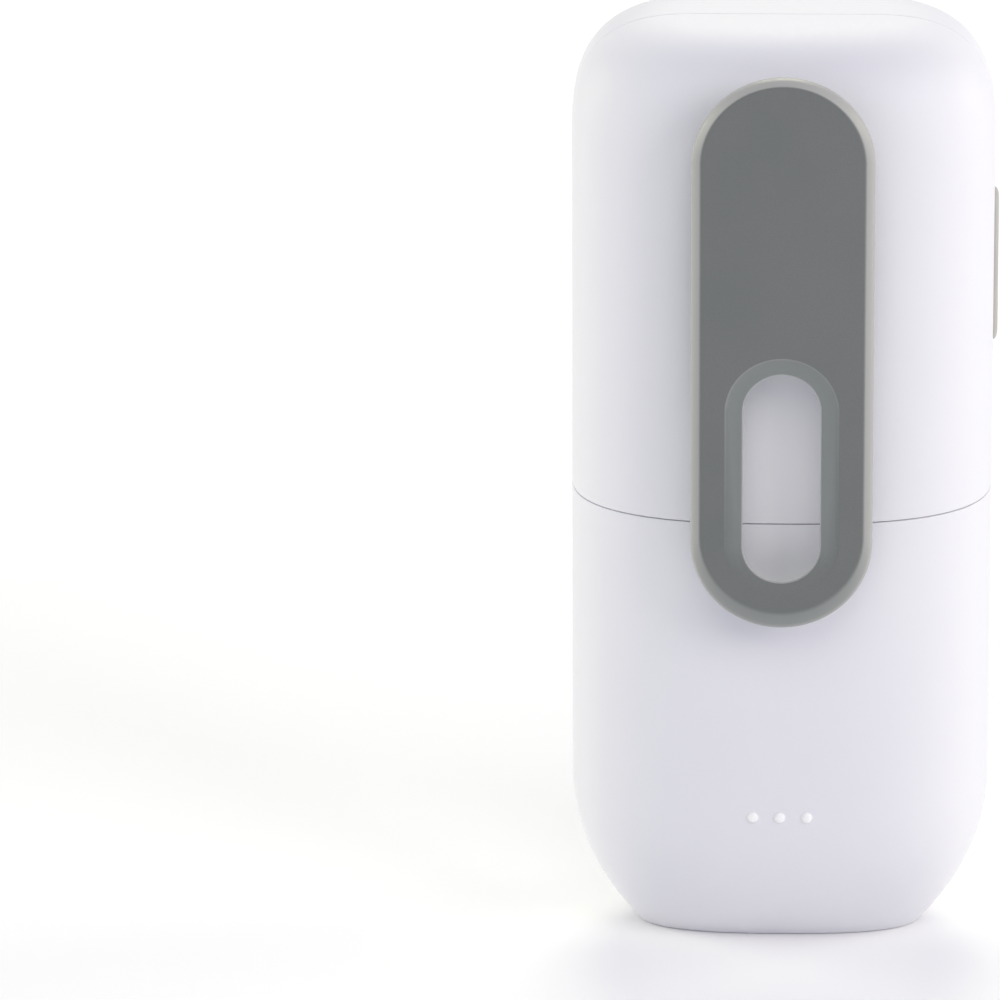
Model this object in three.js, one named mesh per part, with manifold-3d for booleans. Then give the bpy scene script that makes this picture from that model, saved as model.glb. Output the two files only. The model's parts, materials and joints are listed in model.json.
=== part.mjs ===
// A baby monitor camera: an upright soft-cornered housing with a sprung belt clip on its rear face and a
// graded grille of round holes on its front face.
//
// Millimetres, +Z up. The origin is the centre of the flat base. The belt clip faces -Y, the grille and the
// pinhole lens face +Y, the volume rocker is on the +X side, the power switch and the socket on the -X side.

import * as THREE from "three";
import { mergeVertices } from "three/addons/utils/BufferGeometryUtils.js";
import Module from "manifold-3d";

const wasm = await Module();
wasm.setup();

// ---------------------------------------------------------------- driving dimensions

const HEIGHT = 128.5; // whole housing, base to top
const HALF_WIDTH = 28; // along X
const HALF_DEPTH = 18.7; // along Y
const WALL = 1.8; // moulded wall
const GAP = 0.3; // between neighbouring pieces
const PLAN_POWER = 2.6; // the plan section is a superellipse of this power

const TOP_CORNER = 17; // height of the rounding under the top
const TOP_CORNER_Y = 15; // how far the top rounding reaches in along Y
const TOP_POWER = 2.8; // 2 would be a plain circle
const BASE_CORNER = 22; // height of the tuck above the base
const BASE_TUCK_X = 9; // how far the sides pull in at the base
const BASE_TUCK_Y = 11.2; // how far the faces pull in at the base
const FOOT_HEIGHT = 0.8; // rubber foot
const RIM_Z = FOOT_HEIGHT + 0.3; // lowest edge of the shells

const PARTING_Y = -2; // the front shell ends here, the rear shell and battery cover begin
const SEAM_Z = 63.1; // between rear shell and battery cover

const GRILLE_Z = 95.1; // centre of the grille
const GRILLE_PITCH_X = 2.76;
const GRILLE_PITCH_Z = 2.91;
const GRILLE_REACH = 4; // rows and columns each side of the centre

const CLIP_STANDOFF = 4.4; // clear gap between housing and clip, for a belt
const CLIP_THICK = 2.4;
const CLIP_WIDTH = 24.4;
const CLIP_LOW = 50.8;
const CLIP_HIGH = 127;
const CLIP_BEVEL = 1.1;
const SLOT_WIDTH = 10.6;
const SLOT_LOW = 57;
const SLOT_HIGH = 86.4;
const HINGE_Z = 108;
const PIN_RADIUS = 0.9;
const KNUCKLE_RADIUS = 1.8;

const WELL_X = 12.15; // screw wells low on the grille face
const WELL_Z = 21.2;
const WELL_RADIUS = 2.87;
const TOP_SCREW_Z = 116;

const CELL_RADIUS = 5.2; // AAA cell
const CELL_LENGTH = 44.5;
const CELL_PITCH = 10.9;
const CELL_Y = -9.6;

const ROCKER_Y = 3;
const ROCKER_Z = 92.4;
const ROCKER_LENGTH = 21.3;
const ROCKER_WIDTH = 5;
const ROCKER_PROUD = 0.75;

const SWITCH_Z = 29; // middle of the knob when it is down
const KNOB_HALF = 1.4;
const PORT_Z = 19.5;
const PORT_Y = 3;

const BOARD_Y = 4.6; // middle of the main board
const BOARD_THICK = 1.2;
const SPEAKER_RADIUS = 9.8;
const LENS_Z = GRILLE_Z - GRILLE_REACH * GRILLE_PITCH_Z;

// Values that follow from the ones above.
const CLIP_INNER_Y = -(HALF_DEPTH + CLIP_STANDOFF);
const CLIP_OUTER_Y = CLIP_INNER_Y - CLIP_THICK;
const HINGE_Y = CLIP_INNER_Y + KNUCKLE_RADIUS + GAP;
const INNER_FRONT = HALF_DEPTH - WALL; // inside face of the front wall, at the middle

// ---------------------------------------------------------------- solids from three.js geometry

function toSolid(geometry) {
  const bare = geometry.index ? geometry.toNonIndexed() : geometry.clone();
  bare.deleteAttribute("normal");
  bare.deleteAttribute("uv");
  const merged = mergeVertices(bare, 1e-4);
  const mesh = new wasm.Mesh({
    numProp: 3,
    vertProperties: merged.attributes.position.array,
    triVerts: Uint32Array.from(merged.index.array),
  });
  return new wasm.Manifold(mesh);
}

function toGeometry(solid) {
  const mesh = solid.getMesh();
  const geometry = new THREE.BufferGeometry();
  geometry.setAttribute("position", new THREE.BufferAttribute(mesh.vertProperties, 3));
  geometry.setIndex(new THREE.BufferAttribute(mesh.triVerts, 1));
  geometry.computeVertexNormals();
  return geometry;
}

function joined(...geometries) {
  return geometries.map(toSolid).reduce((sum, next) => sum.add(next));
}

function cut(solid, ...geometries) {
  return geometries.map(toSolid).reduce((rest, tool) => rest.subtract(tool), solid);
}

// A box from its lowest to its highest corner.
function block(x0, x1, y0, y1, z0, z1) {
  const box = new THREE.BoxGeometry(x1 - x0, y1 - y0, z1 - z0);
  return box.translate((x0 + x1) / 2, (y0 + y1) / 2, (z0 + z1) / 2);
}

// Round bars along each axis, from one end to the other.
function rodX(radius, x0, x1, y, z, sides = 16) {
  const rod = new THREE.CylinderGeometry(radius, radius, x1 - x0, sides);
  return rod.rotateZ(Math.PI / 2).translate((x0 + x1) / 2, y, z);
}

function rodY(radius, y0, y1, x, z, sides = 16) {
  const rod = new THREE.CylinderGeometry(radius, radius, y1 - y0, sides);
  return rod.translate(x, (y0 + y1) / 2, z);
}

// A flat bar with round ends, standing upright in the XY plane of the shape.
function pillShape(width, length) {
  const r = width / 2;
  const straight = length / 2 - r;
  const shape = new THREE.Shape();
  shape.moveTo(r, -straight);
  shape.lineTo(r, straight);
  shape.absarc(0, straight, r, 0, Math.PI, false);
  shape.lineTo(-r, -straight);
  shape.absarc(0, -straight, r, Math.PI, 2 * Math.PI, false);
  return shape;
}

// An upright pill whose thickness runs along Y, with a bevel on both faces.
function pillY(width, z0, z1, y0, y1, bevel = 0, x = 0, curveSegments = 10) {
  const shape = pillShape(width - 2 * bevel, z1 - z0 - 2 * bevel);
  const pill = new THREE.ExtrudeGeometry(shape, {
    depth: y1 - y0 - 2 * bevel,
    bevelEnabled: bevel > 0,
    bevelThickness: bevel,
    bevelSize: bevel,
    bevelSegments: 1,
    curveSegments,
  });
  return pill.rotateX(Math.PI / 2).translate(x, y1 - bevel, (z0 + z1) / 2);
}

// An upright pill whose thickness runs along X.
function pillX(width, z0, z1, x0, x1, bevel = 0, y = 0) {
  const pill = pillY(width, z0, z1, x0, x1, bevel, 0, 6);
  return pill.rotateZ(-Math.PI / 2).translate(0, y, 0);
}

// A round wire along a list of points.
function wire(points, radius, steps, sides = 6) {
  const section = new THREE.Shape().absarc(0, 0, radius, 0, 2 * Math.PI, false);
  return new THREE.ExtrudeGeometry(section, {
    steps,
    curveSegments: sides,
    bevelEnabled: false,
    extrudePath: new THREE.CatmullRomCurve3(points),
  });
}

// A turned piece about an axis along +Y. The profile is a list of [radius, y] in either order.
function turnedY(profile, x, z, sides = 24) {
  const outline = profile.map(([radius, y]) => new THREE.Vector2(radius, y));
  if (THREE.ShapeUtils.area(outline) < 0) outline.reverse();
  return new THREE.LatheGeometry(outline, sides).translate(x, 0, z);
}

// ---------------------------------------------------------------- the housing's outer form

// How far the wall has pulled in at height z: "top" is the round shoulder, "tuck" the taper to the base.
function pullIn(z, low, high, topReach, tuck) {
  const above = Math.max(0, (z - (high - TOP_CORNER)) / TOP_CORNER);
  const below = Math.max(0, (low + BASE_CORNER - z) / BASE_CORNER);
  const shoulder = topReach * (1 - (1 - Math.min(1, above) ** TOP_POWER) ** (1 / TOP_POWER));
  return shoulder + tuck * below ** 2;
}

// A closed solid of the housing's form, drawn in by inset on every side.
function housingForm(inset) {
  const low = RIM_Z + inset;
  const high = HEIGHT - inset;
  const tuckLevels = 6;
  const shoulderLevels = 7;
  const levels = [];
  for (let i = 0; i <= tuckLevels; i += 1) {
    levels.push(low + BASE_CORNER * (i / tuckLevels));
  }
  for (let i = 0; i <= shoulderLevels; i += 1) {
    const lift = Math.sin((Math.PI / 2) * (i / shoulderLevels));
    levels.push(high - TOP_CORNER + TOP_CORNER * lift);
  }
  const form = new THREE.CylinderGeometry(1, 1, levels.length - 1, 48, levels.length - 1);
  const position = form.attributes.position;
  for (let i = 0; i < position.count; i += 1) {
    const level = Math.round(position.getY(i) + (levels.length - 1) / 2);
    const z = levels[level];
    const halfWidth = HALF_WIDTH - inset - pullIn(z, low, high, TOP_CORNER, BASE_TUCK_X);
    const halfDepth = HALF_DEPTH - inset - pullIn(z, low, high, TOP_CORNER_Y, BASE_TUCK_Y);
    const along = position.getX(i);
    const across = -position.getZ(i);
    const spread = (v) => Math.sign(v) * Math.abs(v) ** (2 / PLAN_POWER);
    position.setXYZ(i, halfWidth * spread(along), halfDepth * spread(across), z);
  }
  return form;
}

const outerForm = toSolid(housingForm(0));
const innerForm = toSolid(housingForm(WALL));
const hollowHousing = outerForm.subtract(innerForm);

const REACH = 100; // larger than the housing, for cutting blocks

function frontHalf() {
  const keep = block(-REACH, REACH, PARTING_Y + GAP / 2, REACH, -1, 2 * REACH);
  return hollowHousing.intersect(toSolid(keep));
}

function rearHalf(z0, z1) {
  const keep = block(-REACH, REACH, -REACH, PARTING_Y - GAP / 2, z0, z1);
  return hollowHousing.intersect(toSolid(keep));
}

// ---------------------------------------------------------------- shells

// Bosses stand on the inside of the front wall, so each one is trimmed to the housing's form.
function frontBoss(radius, fromY, x, z) {
  return toSolid(rodY(radius, fromY, HALF_DEPTH, x, z)).intersect(outerForm);
}

const wells = [-1, 1].map((side) => ({ x: side * WELL_X, z: WELL_Z }));
const trayScrews = [-1, 1].map((side) => ({ x: side * 20, z: 57 }));
const boardScrews = [
  { x: -16, z: 108.5 },
  { x: 13, z: 70 },
];
const WELL_BOSS_Y = 3.9;
const WELL_FLOOR_Y = 7.4;
const TRAY_BOSS_Y = PARTING_Y - 0.4;
const BOARD_BOSS_Y = BOARD_Y + BOARD_THICK / 2 + GAP;
const WELL_BOSS_RADIUS = WELL_RADIUS + 1.1;
const TRAY_BOSS_RADIUS = 2.6;
const BOARD_BOSS_RADIUS = 2.3;
const TOP_BOSS_RADIUS = 2.6;
const TOP_BOSS_Y = PARTING_Y + 1;
const SCREW_RADIUS = 0.9;
const SCREW_HOLE = 1.2;
const LENS_HOLE = 0.95;

// The grille: rings of holes, smaller towards the rim, open only over the speaker.
function grilleHoles() {
  const sizeByRing = [
    { upTo: 4, radius: 1.0 },
    { upTo: 13, radius: 0.88 },
    { upTo: 20, radius: 0.68 },
    { upTo: 25, radius: 0.5 },
  ];
  const openUpTo = 10;
  const dimpleDepth = 0.9;
  const holes = [];
  for (let column = -GRILLE_REACH; column <= GRILLE_REACH; column += 1) {
    for (let row = -GRILLE_REACH; row <= GRILLE_REACH; row += 1) {
      const ring = column ** 2 + row ** 2;
      const size = sizeByRing.find((entry) => ring <= entry.upTo);
      const isLens = column === 0 && row === -GRILLE_REACH;
      if (!size || isLens) continue;
      const x = column * GRILLE_PITCH_X;
      const z = GRILLE_Z + row * GRILLE_PITCH_Z;
      const wallY = HALF_DEPTH * (1 - Math.abs(x / HALF_WIDTH) ** PLAN_POWER) ** (1 / PLAN_POWER);
      const isOpen = ring <= openUpTo;
      const depth = isOpen ? WALL + 1 : dimpleDepth;
      holes.push(rodY(size.radius, wallY - depth, wallY + 1, x, z, isOpen ? 8 : 6));
    }
  }
  return holes;
}

const CHARGE_X = 1.035; // the twin slots stand either side of the middle
const CHARGE_Z = 27.6;
const CHARGE_SLOT_WIDTH = 1.3;
const CHARGE_SLOT_LENGTH = 2.5;
const PORT_WIDTH = 3.6;
const PORT_LENGTH = 9;
const SWITCH_TRAVEL = 3;

function frontShell() {
  let shell = frontHalf();
  for (const { x, z } of wells) {
    shell = shell.add(frontBoss(WELL_BOSS_RADIUS, WELL_BOSS_Y, x, z));
  }
  for (const { x, z } of trayScrews) {
    shell = shell.add(frontBoss(TRAY_BOSS_RADIUS, TRAY_BOSS_Y, x, z));
  }
  for (const { x, z } of boardScrews) {
    shell = shell.add(frontBoss(BOARD_BOSS_RADIUS, BOARD_BOSS_Y, x, z));
  }
  shell = shell.add(frontBoss(TOP_BOSS_RADIUS, TOP_BOSS_Y, 0, TOP_SCREW_Z));
  for (const { x, z } of wells) {
    shell = cut(shell, rodY(WELL_RADIUS, WELL_FLOOR_Y, REACH, x, z, 20));
    shell = cut(shell, rodY(SCREW_HOLE, 0, REACH, x, z, 12));
  }
  for (const { x, z } of trayScrews) {
    shell = cut(shell, rodY(SCREW_HOLE, TRAY_BOSS_Y - 1, TRAY_BOSS_Y + 8.4, x, z, 12));
  }
  for (const { x, z } of boardScrews) {
    shell = cut(shell, rodY(SCREW_HOLE, 0, BOARD_BOSS_Y + 7.5, x, z, 12));
  }
  shell = cut(shell, rodY(SCREW_HOLE, PARTING_Y, TOP_BOSS_Y + 11, 0, TOP_SCREW_Z, 12));
  shell = cut(shell, ...grilleHoles());
  const insideWall = INNER_FRONT - 5;
  shell = cut(shell, rodY(LENS_HOLE, insideWall, REACH, 0, LENS_Z, 16));
  const slotLow = CHARGE_Z - CHARGE_SLOT_LENGTH / 2;
  const slotHigh = CHARGE_Z + CHARGE_SLOT_LENGTH / 2;
  for (const side of [-1, 1]) {
    const slot = pillY(CHARGE_SLOT_WIDTH, slotLow, slotHigh, insideWall, REACH, 0, side * CHARGE_X, 4);
    shell = cut(shell, slot);
  }
  const rockerHalf = ROCKER_LENGTH / 2 + GAP;
  const rockerWindow = pillX(
    ROCKER_WIDTH + 2 * GAP, ROCKER_Z - rockerHalf, ROCKER_Z + rockerHalf, 20, REACH, 0, ROCKER_Y,
  );
  const insideFlank = HALF_WIDTH - 6;
  const switchLow = SWITCH_Z - KNOB_HALF - 0.4;
  const switchHigh = SWITCH_Z + KNOB_HALF + SWITCH_TRAVEL + 0.4;
  const switchWindow = block(-REACH, -insideFlank, PORT_Y - 1.5, PORT_Y + 1.5, switchLow, switchHigh);
  const portLow = PORT_Z - PORT_LENGTH / 2;
  const portHigh = PORT_Z + PORT_LENGTH / 2;
  const portWindow = pillX(PORT_WIDTH, portLow, portHigh, -REACH, 2 - insideFlank, 0, PORT_Y);
  return cut(shell, rockerWindow, switchWindow, portWindow);
}

const LUG_INNER = 6.2;
const LUG_OUTER = 8.2;
const TOP_RECESS_RADIUS = 2.4; // for the head of the top screw
const TOP_RECESS_DEPTH = 5;
const BORE_RADIUS = PIN_RADIUS + 0.15;

// The upper half of the rear, with the two lugs that carry the clip's pin.
function rearShell() {
  let shell = rearHalf(SEAM_Z + GAP / 2, 2 * REACH);
  for (const side of [-1, 1]) {
    const x0 = Math.min(side * LUG_INNER, side * LUG_OUTER);
    const x1 = x0 + LUG_OUTER - LUG_INNER;
    const wallY = 1.2 - HALF_DEPTH;
    const root = block(x0, x1, HINGE_Y, wallY, HINGE_Z - KNUCKLE_RADIUS, HINGE_Z + KNUCKLE_RADIUS);
    shell = shell.add(joined(root, rodX(KNUCKLE_RADIUS, x0, x1, HINGE_Y, HINGE_Z)));
  }
  shell = cut(shell, rodX(BORE_RADIUS, -REACH, REACH, HINGE_Y, HINGE_Z));
  const bossRadius = TOP_RECESS_RADIUS + 0.8;
  const bossEnd = PARTING_Y + 0.4;
  const boss = toSolid(rodY(bossRadius, -HALF_DEPTH, bossEnd, 0, TOP_SCREW_Z)).intersect(outerForm);
  shell = shell.add(boss);
  return cut(
    shell,
    rodY(TOP_RECESS_RADIUS, -REACH, -HALF_DEPTH + TOP_RECESS_DEPTH, 0, TOP_SCREW_Z),
    rodY(SCREW_HOLE, -REACH, 5, 0, TOP_SCREW_Z, 12),
  );
}

// The lower half of the rear: it slides down off the cells. Three thumb bumps and a latch tongue.
function batteryCover() {
  const bumpPitch = 3.6;
  const bumpRadius = 0.85;
  const bumpProud = 0.45;
  const bumpZ = 21.1;
  let cover = rearHalf(0, SEAM_Z - GAP / 2);
  for (const column of [-1, 0, 1]) {
    const bump = new THREE.SphereGeometry(bumpRadius, 12, 8);
    const wallY = -HALF_DEPTH + 0.05;
    cover = cover.add(toSolid(bump.translate(column * bumpPitch, wallY + bumpRadius - bumpProud, bumpZ)));
  }
  const half = 6;
  const tongueBack = 0.5 - INNER_FRONT; // clear of the rear shell's wall
  const tongueFront = tongueBack + 1.2;
  const low = SEAM_Z - 5;
  const tongue = block(-half, half, tongueBack, tongueFront, low, SEAM_Z + 3);
  const tongueRoot = block(-half, half, -INNER_FRONT - 0.4, tongueFront, low, SEAM_Z - 2);
  return cover.add(joined(tongue, tongueRoot));
}

// The rubber foot is in two halves, one under the front shell and one under the battery cover.
function footHalf(y0, y1) {
  const insideRim = 0.2;
  const footX = HALF_WIDTH - BASE_TUCK_X - insideRim;
  const footY = HALF_DEPTH - BASE_TUCK_Y - insideRim;
  const foot = new THREE.CylinderGeometry(1, 1, FOOT_HEIGHT, 36);
  foot.scale(footX, 1, footY).rotateX(Math.PI / 2).translate(0, 0, FOOT_HEIGHT / 2);
  return toSolid(foot).intersect(toSolid(block(-REACH, REACH, y0, y1, -1, 5)));
}

// ---------------------------------------------------------------- belt clip

function beltClip() {
  const behind = CLIP_INNER_Y + CLIP_BEVEL; // the bevel is on the outer face only
  const plate = pillY(CLIP_WIDTH, CLIP_LOW, CLIP_HIGH, CLIP_OUTER_Y, behind, CLIP_BEVEL, 0, 14);
  const backCut = block(-REACH, REACH, CLIP_INNER_Y, 0, 0, 2 * REACH);
  const slot = pillY(SLOT_WIDTH, SLOT_LOW, SLOT_HIGH, CLIP_OUTER_Y - 1, CLIP_INNER_Y + 1, 0, 0, 12);
  const dishReach = 3;
  const dishBevel = 1.8;
  const dish = pillY(
    SLOT_WIDTH + 2 * dishReach, SLOT_LOW - dishReach, SLOT_HIGH + dishReach,
    CLIP_OUTER_Y - 2, CLIP_OUTER_Y + 1, dishBevel, 0, 12,
  );
  const knuckleLeft = -LUG_INNER + 3.2; // leaves room for the spring
  const knuckleRight = LUG_INNER - GAP;
  const knuckle = rodX(KNUCKLE_RADIUS, knuckleLeft, knuckleRight, HINGE_Y, HINGE_Z);
  const knuckleRoot = block(
    knuckleLeft, knuckleRight, CLIP_INNER_Y - 0.5, HINGE_Y,
    HINGE_Z - KNUCKLE_RADIUS, HINGE_Z + KNUCKLE_RADIUS,
  );
  const bore = rodX(BORE_RADIUS, -REACH, REACH, HINGE_Y, HINGE_Z);
  const flatBacked = cut(toSolid(plate), backCut);
  return cut(flatBacked.add(joined(knuckle, knuckleRoot)), slot, dish, bore);
}

function clipPin() {
  const half = LUG_OUTER + 0.6;
  return toSolid(rodX(PIN_RADIUS, -half, half, HINGE_Y, HINGE_Z));
}

// A torsion spring beside the knuckle, one leg up along the housing and a short one towards the clip.
function clipSpring() {
  const coilRadius = 1.4;
  const wireRadius = 0.22;
  const turns = 3;
  const stepsPerTurn = 10;
  const x0 = -LUG_INNER + 0.6;
  const x1 = -LUG_INNER + 2.6;
  const points = [new THREE.Vector3(x0, HINGE_Y + coilRadius, HINGE_Z + 6)];
  for (let i = 0; i <= turns * stepsPerTurn + stepsPerTurn / 2; i += 1) {
    const angle = (2 * Math.PI * i) / stepsPerTurn;
    const x = x0 + ((x1 - x0) * i) / ((turns + 0.5) * stepsPerTurn);
    const y = HINGE_Y + coilRadius * Math.cos(angle);
    const z = HINGE_Z - coilRadius * Math.sin(angle);
    points.push(new THREE.Vector3(x, y, z));
  }
  points.push(new THREE.Vector3(x1, HINGE_Y - coilRadius, HINGE_Z + 1));
  return toSolid(wire(points, wireRadius, 44, 2));
}

// ---------------------------------------------------------------- batteries

const TRAY_LOW = 12.6;
const TRAY_HIGH = 63.6;
const TRAY_HALF_WIDTH = 17.4;
const TRAY_BACK = -2.7; // the tray's floor lies between these two, in Y
const TRAY_FACE = -3.9;
const TRAY_WALL = 1.1;
const TRAY_END_Y = -12.5; // how far the end walls reach round the cells
const TRAY_SIDE_Y = -10.5;
const TRAY_POST_RADIUS = 2.8;
const EAR_REACH = 2.5; // an ear reaches this far past its screw
const EAR_HALF_HEIGHT = 3.5;

function batteryTray() {
  const floor = block(-TRAY_HALF_WIDTH, TRAY_HALF_WIDTH, TRAY_FACE, TRAY_BACK, TRAY_LOW, TRAY_HIGH);
  const earX = trayScrews[1].x + EAR_REACH;
  const earZ = trayScrews[1].z;
  const ears = block(-earX, earX, TRAY_FACE, TRAY_BACK, earZ - EAR_HALF_HEIGHT, earZ + EAR_HALF_HEIGHT);
  const ends = [TRAY_LOW, TRAY_HIGH - TRAY_WALL].map((z) =>
    block(-TRAY_HALF_WIDTH, TRAY_HALF_WIDTH, TRAY_END_Y, TRAY_BACK, z, z + TRAY_WALL),
  );
  const sides = [-TRAY_HALF_WIDTH, TRAY_HALF_WIDTH - TRAY_WALL].map((x) =>
    block(x, x + TRAY_WALL, TRAY_SIDE_Y, TRAY_BACK, TRAY_LOW, TRAY_HIGH),
  );
  const postBack = TRAY_FACE + 0.2;
  const posts = wells.map(({ x, z }) => rodY(TRAY_POST_RADIUS, postBack, WELL_BOSS_Y - GAP, x, z));
  const clearOfShells = toSolid(housingForm(WALL + GAP));
  const tray = joined(floor, ears, ...ends, ...sides, ...posts).intersect(clearOfShells);
  const postHoles = wells.map(({ x, z }) => rodY(SCREW_HOLE, TRAY_BACK, REACH, x, z, 12));
  const earHoles = trayScrews.map(({ x, z }) => rodY(SCREW_HOLE, -REACH, REACH, x, z, 12));
  const wireHole = rodY(1.2, -REACH, REACH, 0, TRAY_HIGH - 3.2, 12);
  return cut(tray, ...postHoles, ...earHoles, wireHole);
}

const CONTACT_THICK = 0.4;

// A cell about Z, with its raised end up or down, between a flat contact and a coil spring.
function cell(x, isUp) {
  const nubHeight = 0.9;
  const nubRadius = 1.9;
  const rim = 0.5;
  const turned = turnedY([
    [0, 0],
    [CELL_RADIUS - rim, 0],
    [CELL_RADIUS, rim],
    [CELL_RADIUS, CELL_LENGTH - nubHeight - rim],
    [CELL_RADIUS - rim, CELL_LENGTH - nubHeight],
    [nubRadius, CELL_LENGTH - nubHeight],
    [nubRadius - 0.2, CELL_LENGTH],
    [0, CELL_LENGTH],
  ], 0, 0, 18);
  turned.rotateX(Math.PI / 2);
  const fromEnd = TRAY_WALL + 2 * GAP + CONTACT_THICK;
  if (isUp) turned.translate(x, CELL_Y, TRAY_HIGH - fromEnd - CELL_LENGTH);
  else turned.rotateX(Math.PI).translate(x, CELL_Y, TRAY_LOW + fromEnd + CELL_LENGTH);
  return toSolid(turned);
}

// The flat contact that meets the raised end.
function cellContact(x, isUp) {
  const near = isUp ? TRAY_HIGH - TRAY_WALL - GAP - CONTACT_THICK : TRAY_LOW + TRAY_WALL + GAP;
  const half = 3.4;
  return toSolid(block(x - half, x + half, CELL_Y - 2.6, CELL_Y + half, near, near + CONTACT_THICK));
}

// The conical spring that meets the flat end.
function cellSpring(x, isUp) {
  const turns = 3;
  const stepsPerTurn = 10;
  const height = 1.9;
  const baseRadius = 3.6;
  const tipRadius = 2;
  const wireRadius = 0.22;
  const start = isUp ? TRAY_LOW + TRAY_WALL + 0.6 : TRAY_HIGH - TRAY_WALL - 0.6;
  const direction = isUp ? 1 : -1;
  const points = [];
  for (let i = 0; i <= turns * stepsPerTurn; i += 1) {
    const share = i / (turns * stepsPerTurn);
    const angle = 2 * Math.PI * turns * share;
    const radius = baseRadius + (tipRadius - baseRadius) * share;
    points.push(new THREE.Vector3(
      x + radius * Math.cos(angle),
      CELL_Y + radius * Math.sin(angle),
      start + direction * height * share,
    ));
  }
  return toSolid(wire(points, wireRadius, turns * stepsPerTurn, 2));
}

// ---------------------------------------------------------------- boards and controls

const BOARD_LEFT = -21;
const BOARD_RIGHT = 17.5; // stops short of the rocker's board
const BOARD_LOW = 66;
const BOARD_HIGH = 112;
const BOARD_BACK_Y = BOARD_Y - BOARD_THICK / 2;
const BOARD_FRONT_Y = BOARD_Y + BOARD_THICK / 2;

function mainBoard() {
  const board = block(BOARD_LEFT, BOARD_RIGHT, BOARD_BACK_Y, BOARD_FRONT_Y, BOARD_LOW, BOARD_HIGH);
  return cut(toSolid(board), ...boardScrews.map(({ x, z }) => rodY(SCREW_HOLE, -REACH, REACH, x, z, 14)));
}

function shieldCan() {
  const x = -15;
  const z = 74;
  const width = 18;
  const height = 2.4;
  const sheet = 0.3;
  const open = BOARD_BACK_Y - GAP;
  const can = block(x, x + width, open - height, open, z, z + width);
  const inside = block(
    x + sheet, x + width - sheet, open - height + sheet, open + 1, z + sheet, z + width - sheet,
  );
  return cut(toSolid(can), inside);
}

// A printed strip antenna that meanders across the space under the top.
function antenna() {
  const start = -15;
  const pitch = 4;
  const strip = 1.2;
  const low = 118.6;
  const high = 122;
  const y0 = -5;
  const y1 = -4.4;
  const legs = [0, 1, 2, 3].map((i) => {
    const x = start + i * pitch;
    return block(x, x + strip, y0, y1, low, high);
  });
  const bridges = [0, 1, 2].map((i) => {
    const x = start + i * pitch;
    const z = i % 2 ? low : high - strip;
    return block(x, x + pitch + strip, y0, y1, z, z + strip);
  });
  return joined(...legs, ...bridges);
}

function microphone() {
  const x = -9.6;
  const z = 78.45;
  const halfWidth = 1.9;
  const halfHeight = 1.45;
  const back = BOARD_FRONT_Y + GAP;
  const can = block(x - halfWidth, x + halfWidth, back, back + 1.2, z - halfHeight, z + halfHeight);
  return cut(toSolid(can), rodY(0.4, back + 0.5, REACH, x, z, 10));
}

function volumeRocker() {
  const half = ROCKER_LENGTH / 2;
  const flangeBack = 23.6;
  const flangeThick = 1;
  const flangeReach = 1;
  const outer = pillX(
    ROCKER_WIDTH, ROCKER_Z - half, ROCKER_Z + half, flangeBack + 0.6, HALF_WIDTH + ROCKER_PROUD, 0.5, ROCKER_Y,
  );
  const flange = pillX(
    ROCKER_WIDTH + flangeReach, ROCKER_Z - half - flangeReach, ROCKER_Z + half + flangeReach,
    flangeBack, flangeBack + flangeThick, 0, ROCKER_Y,
  );
  return joined(outer, flange);
}

const ROCKER_BOARD_X = 20; // its face, under the tact switches
const TACT_PITCH = 7.5; // from the rocker's middle to each switch

function rockerBoard() {
  const back = ROCKER_BOARD_X - 1;
  const y0 = ROCKER_Y - 3.5;
  const y1 = ROCKER_Y + 3.5;
  const half = 11;
  return toSolid(block(back, ROCKER_BOARD_X, y0, y1, ROCKER_Z - half, ROCKER_Z + half));
}

function tactSwitch(z) {
  const half = 1.8;
  const bodyFront = ROCKER_BOARD_X + 2.1;
  const plungerFront = bodyFront + 0.6;
  return joined(
    block(ROCKER_BOARD_X + GAP, bodyFront, ROCKER_Y - half, ROCKER_Y + half, z - half, z + half),
    rodX(0.8, bodyFront - 0.1, plungerFront, ROCKER_Y, z, 12),
  );
}

const SIDE_BOARD_Y = 0.4;
const SIDE_BOARD_THICK = 1;
const SIDE_PARTS_Y = SIDE_BOARD_Y + SIDE_BOARD_THICK + GAP; // the socket and the switch stand on the board

function sideBoard() {
  return toSolid(block(-23.8, -15.5, SIDE_BOARD_Y, SIDE_BOARD_Y + SIDE_BOARD_THICK, 15.3, 36));
}

function usbSocket() {
  const mouth = -26;
  const length = 5.6;
  const half = 3.75;
  const sheet = 0.35;
  const low = SIDE_PARTS_Y;
  const high = low + 2.6;
  const inHalf = half - sheet;
  const tongueHalf = half - 1.35;
  const shell = block(mouth, mouth + length, low, high, PORT_Z - half, PORT_Z + half);
  const pocket = block(
    mouth - 1, mouth + length - 0.6, low + sheet, high - sheet, PORT_Z - inHalf, PORT_Z + inHalf,
  );
  const tongue = block(
    mouth + 0.8, mouth + length - 0.3, low + 1, low + 1.6, PORT_Z - tongueHalf, PORT_Z + tongueHalf,
  );
  return cut(toSolid(shell), pocket).add(toSolid(tongue));
}

function powerSwitchBody() {
  const low = SWITCH_Z - 2.2;
  const high = SWITCH_Z + SWITCH_TRAVEL + 2.2;
  return toSolid(block(-24.6, -21, SIDE_PARTS_Y, SIDE_PARTS_Y + 2.8, low, high));
}

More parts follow.
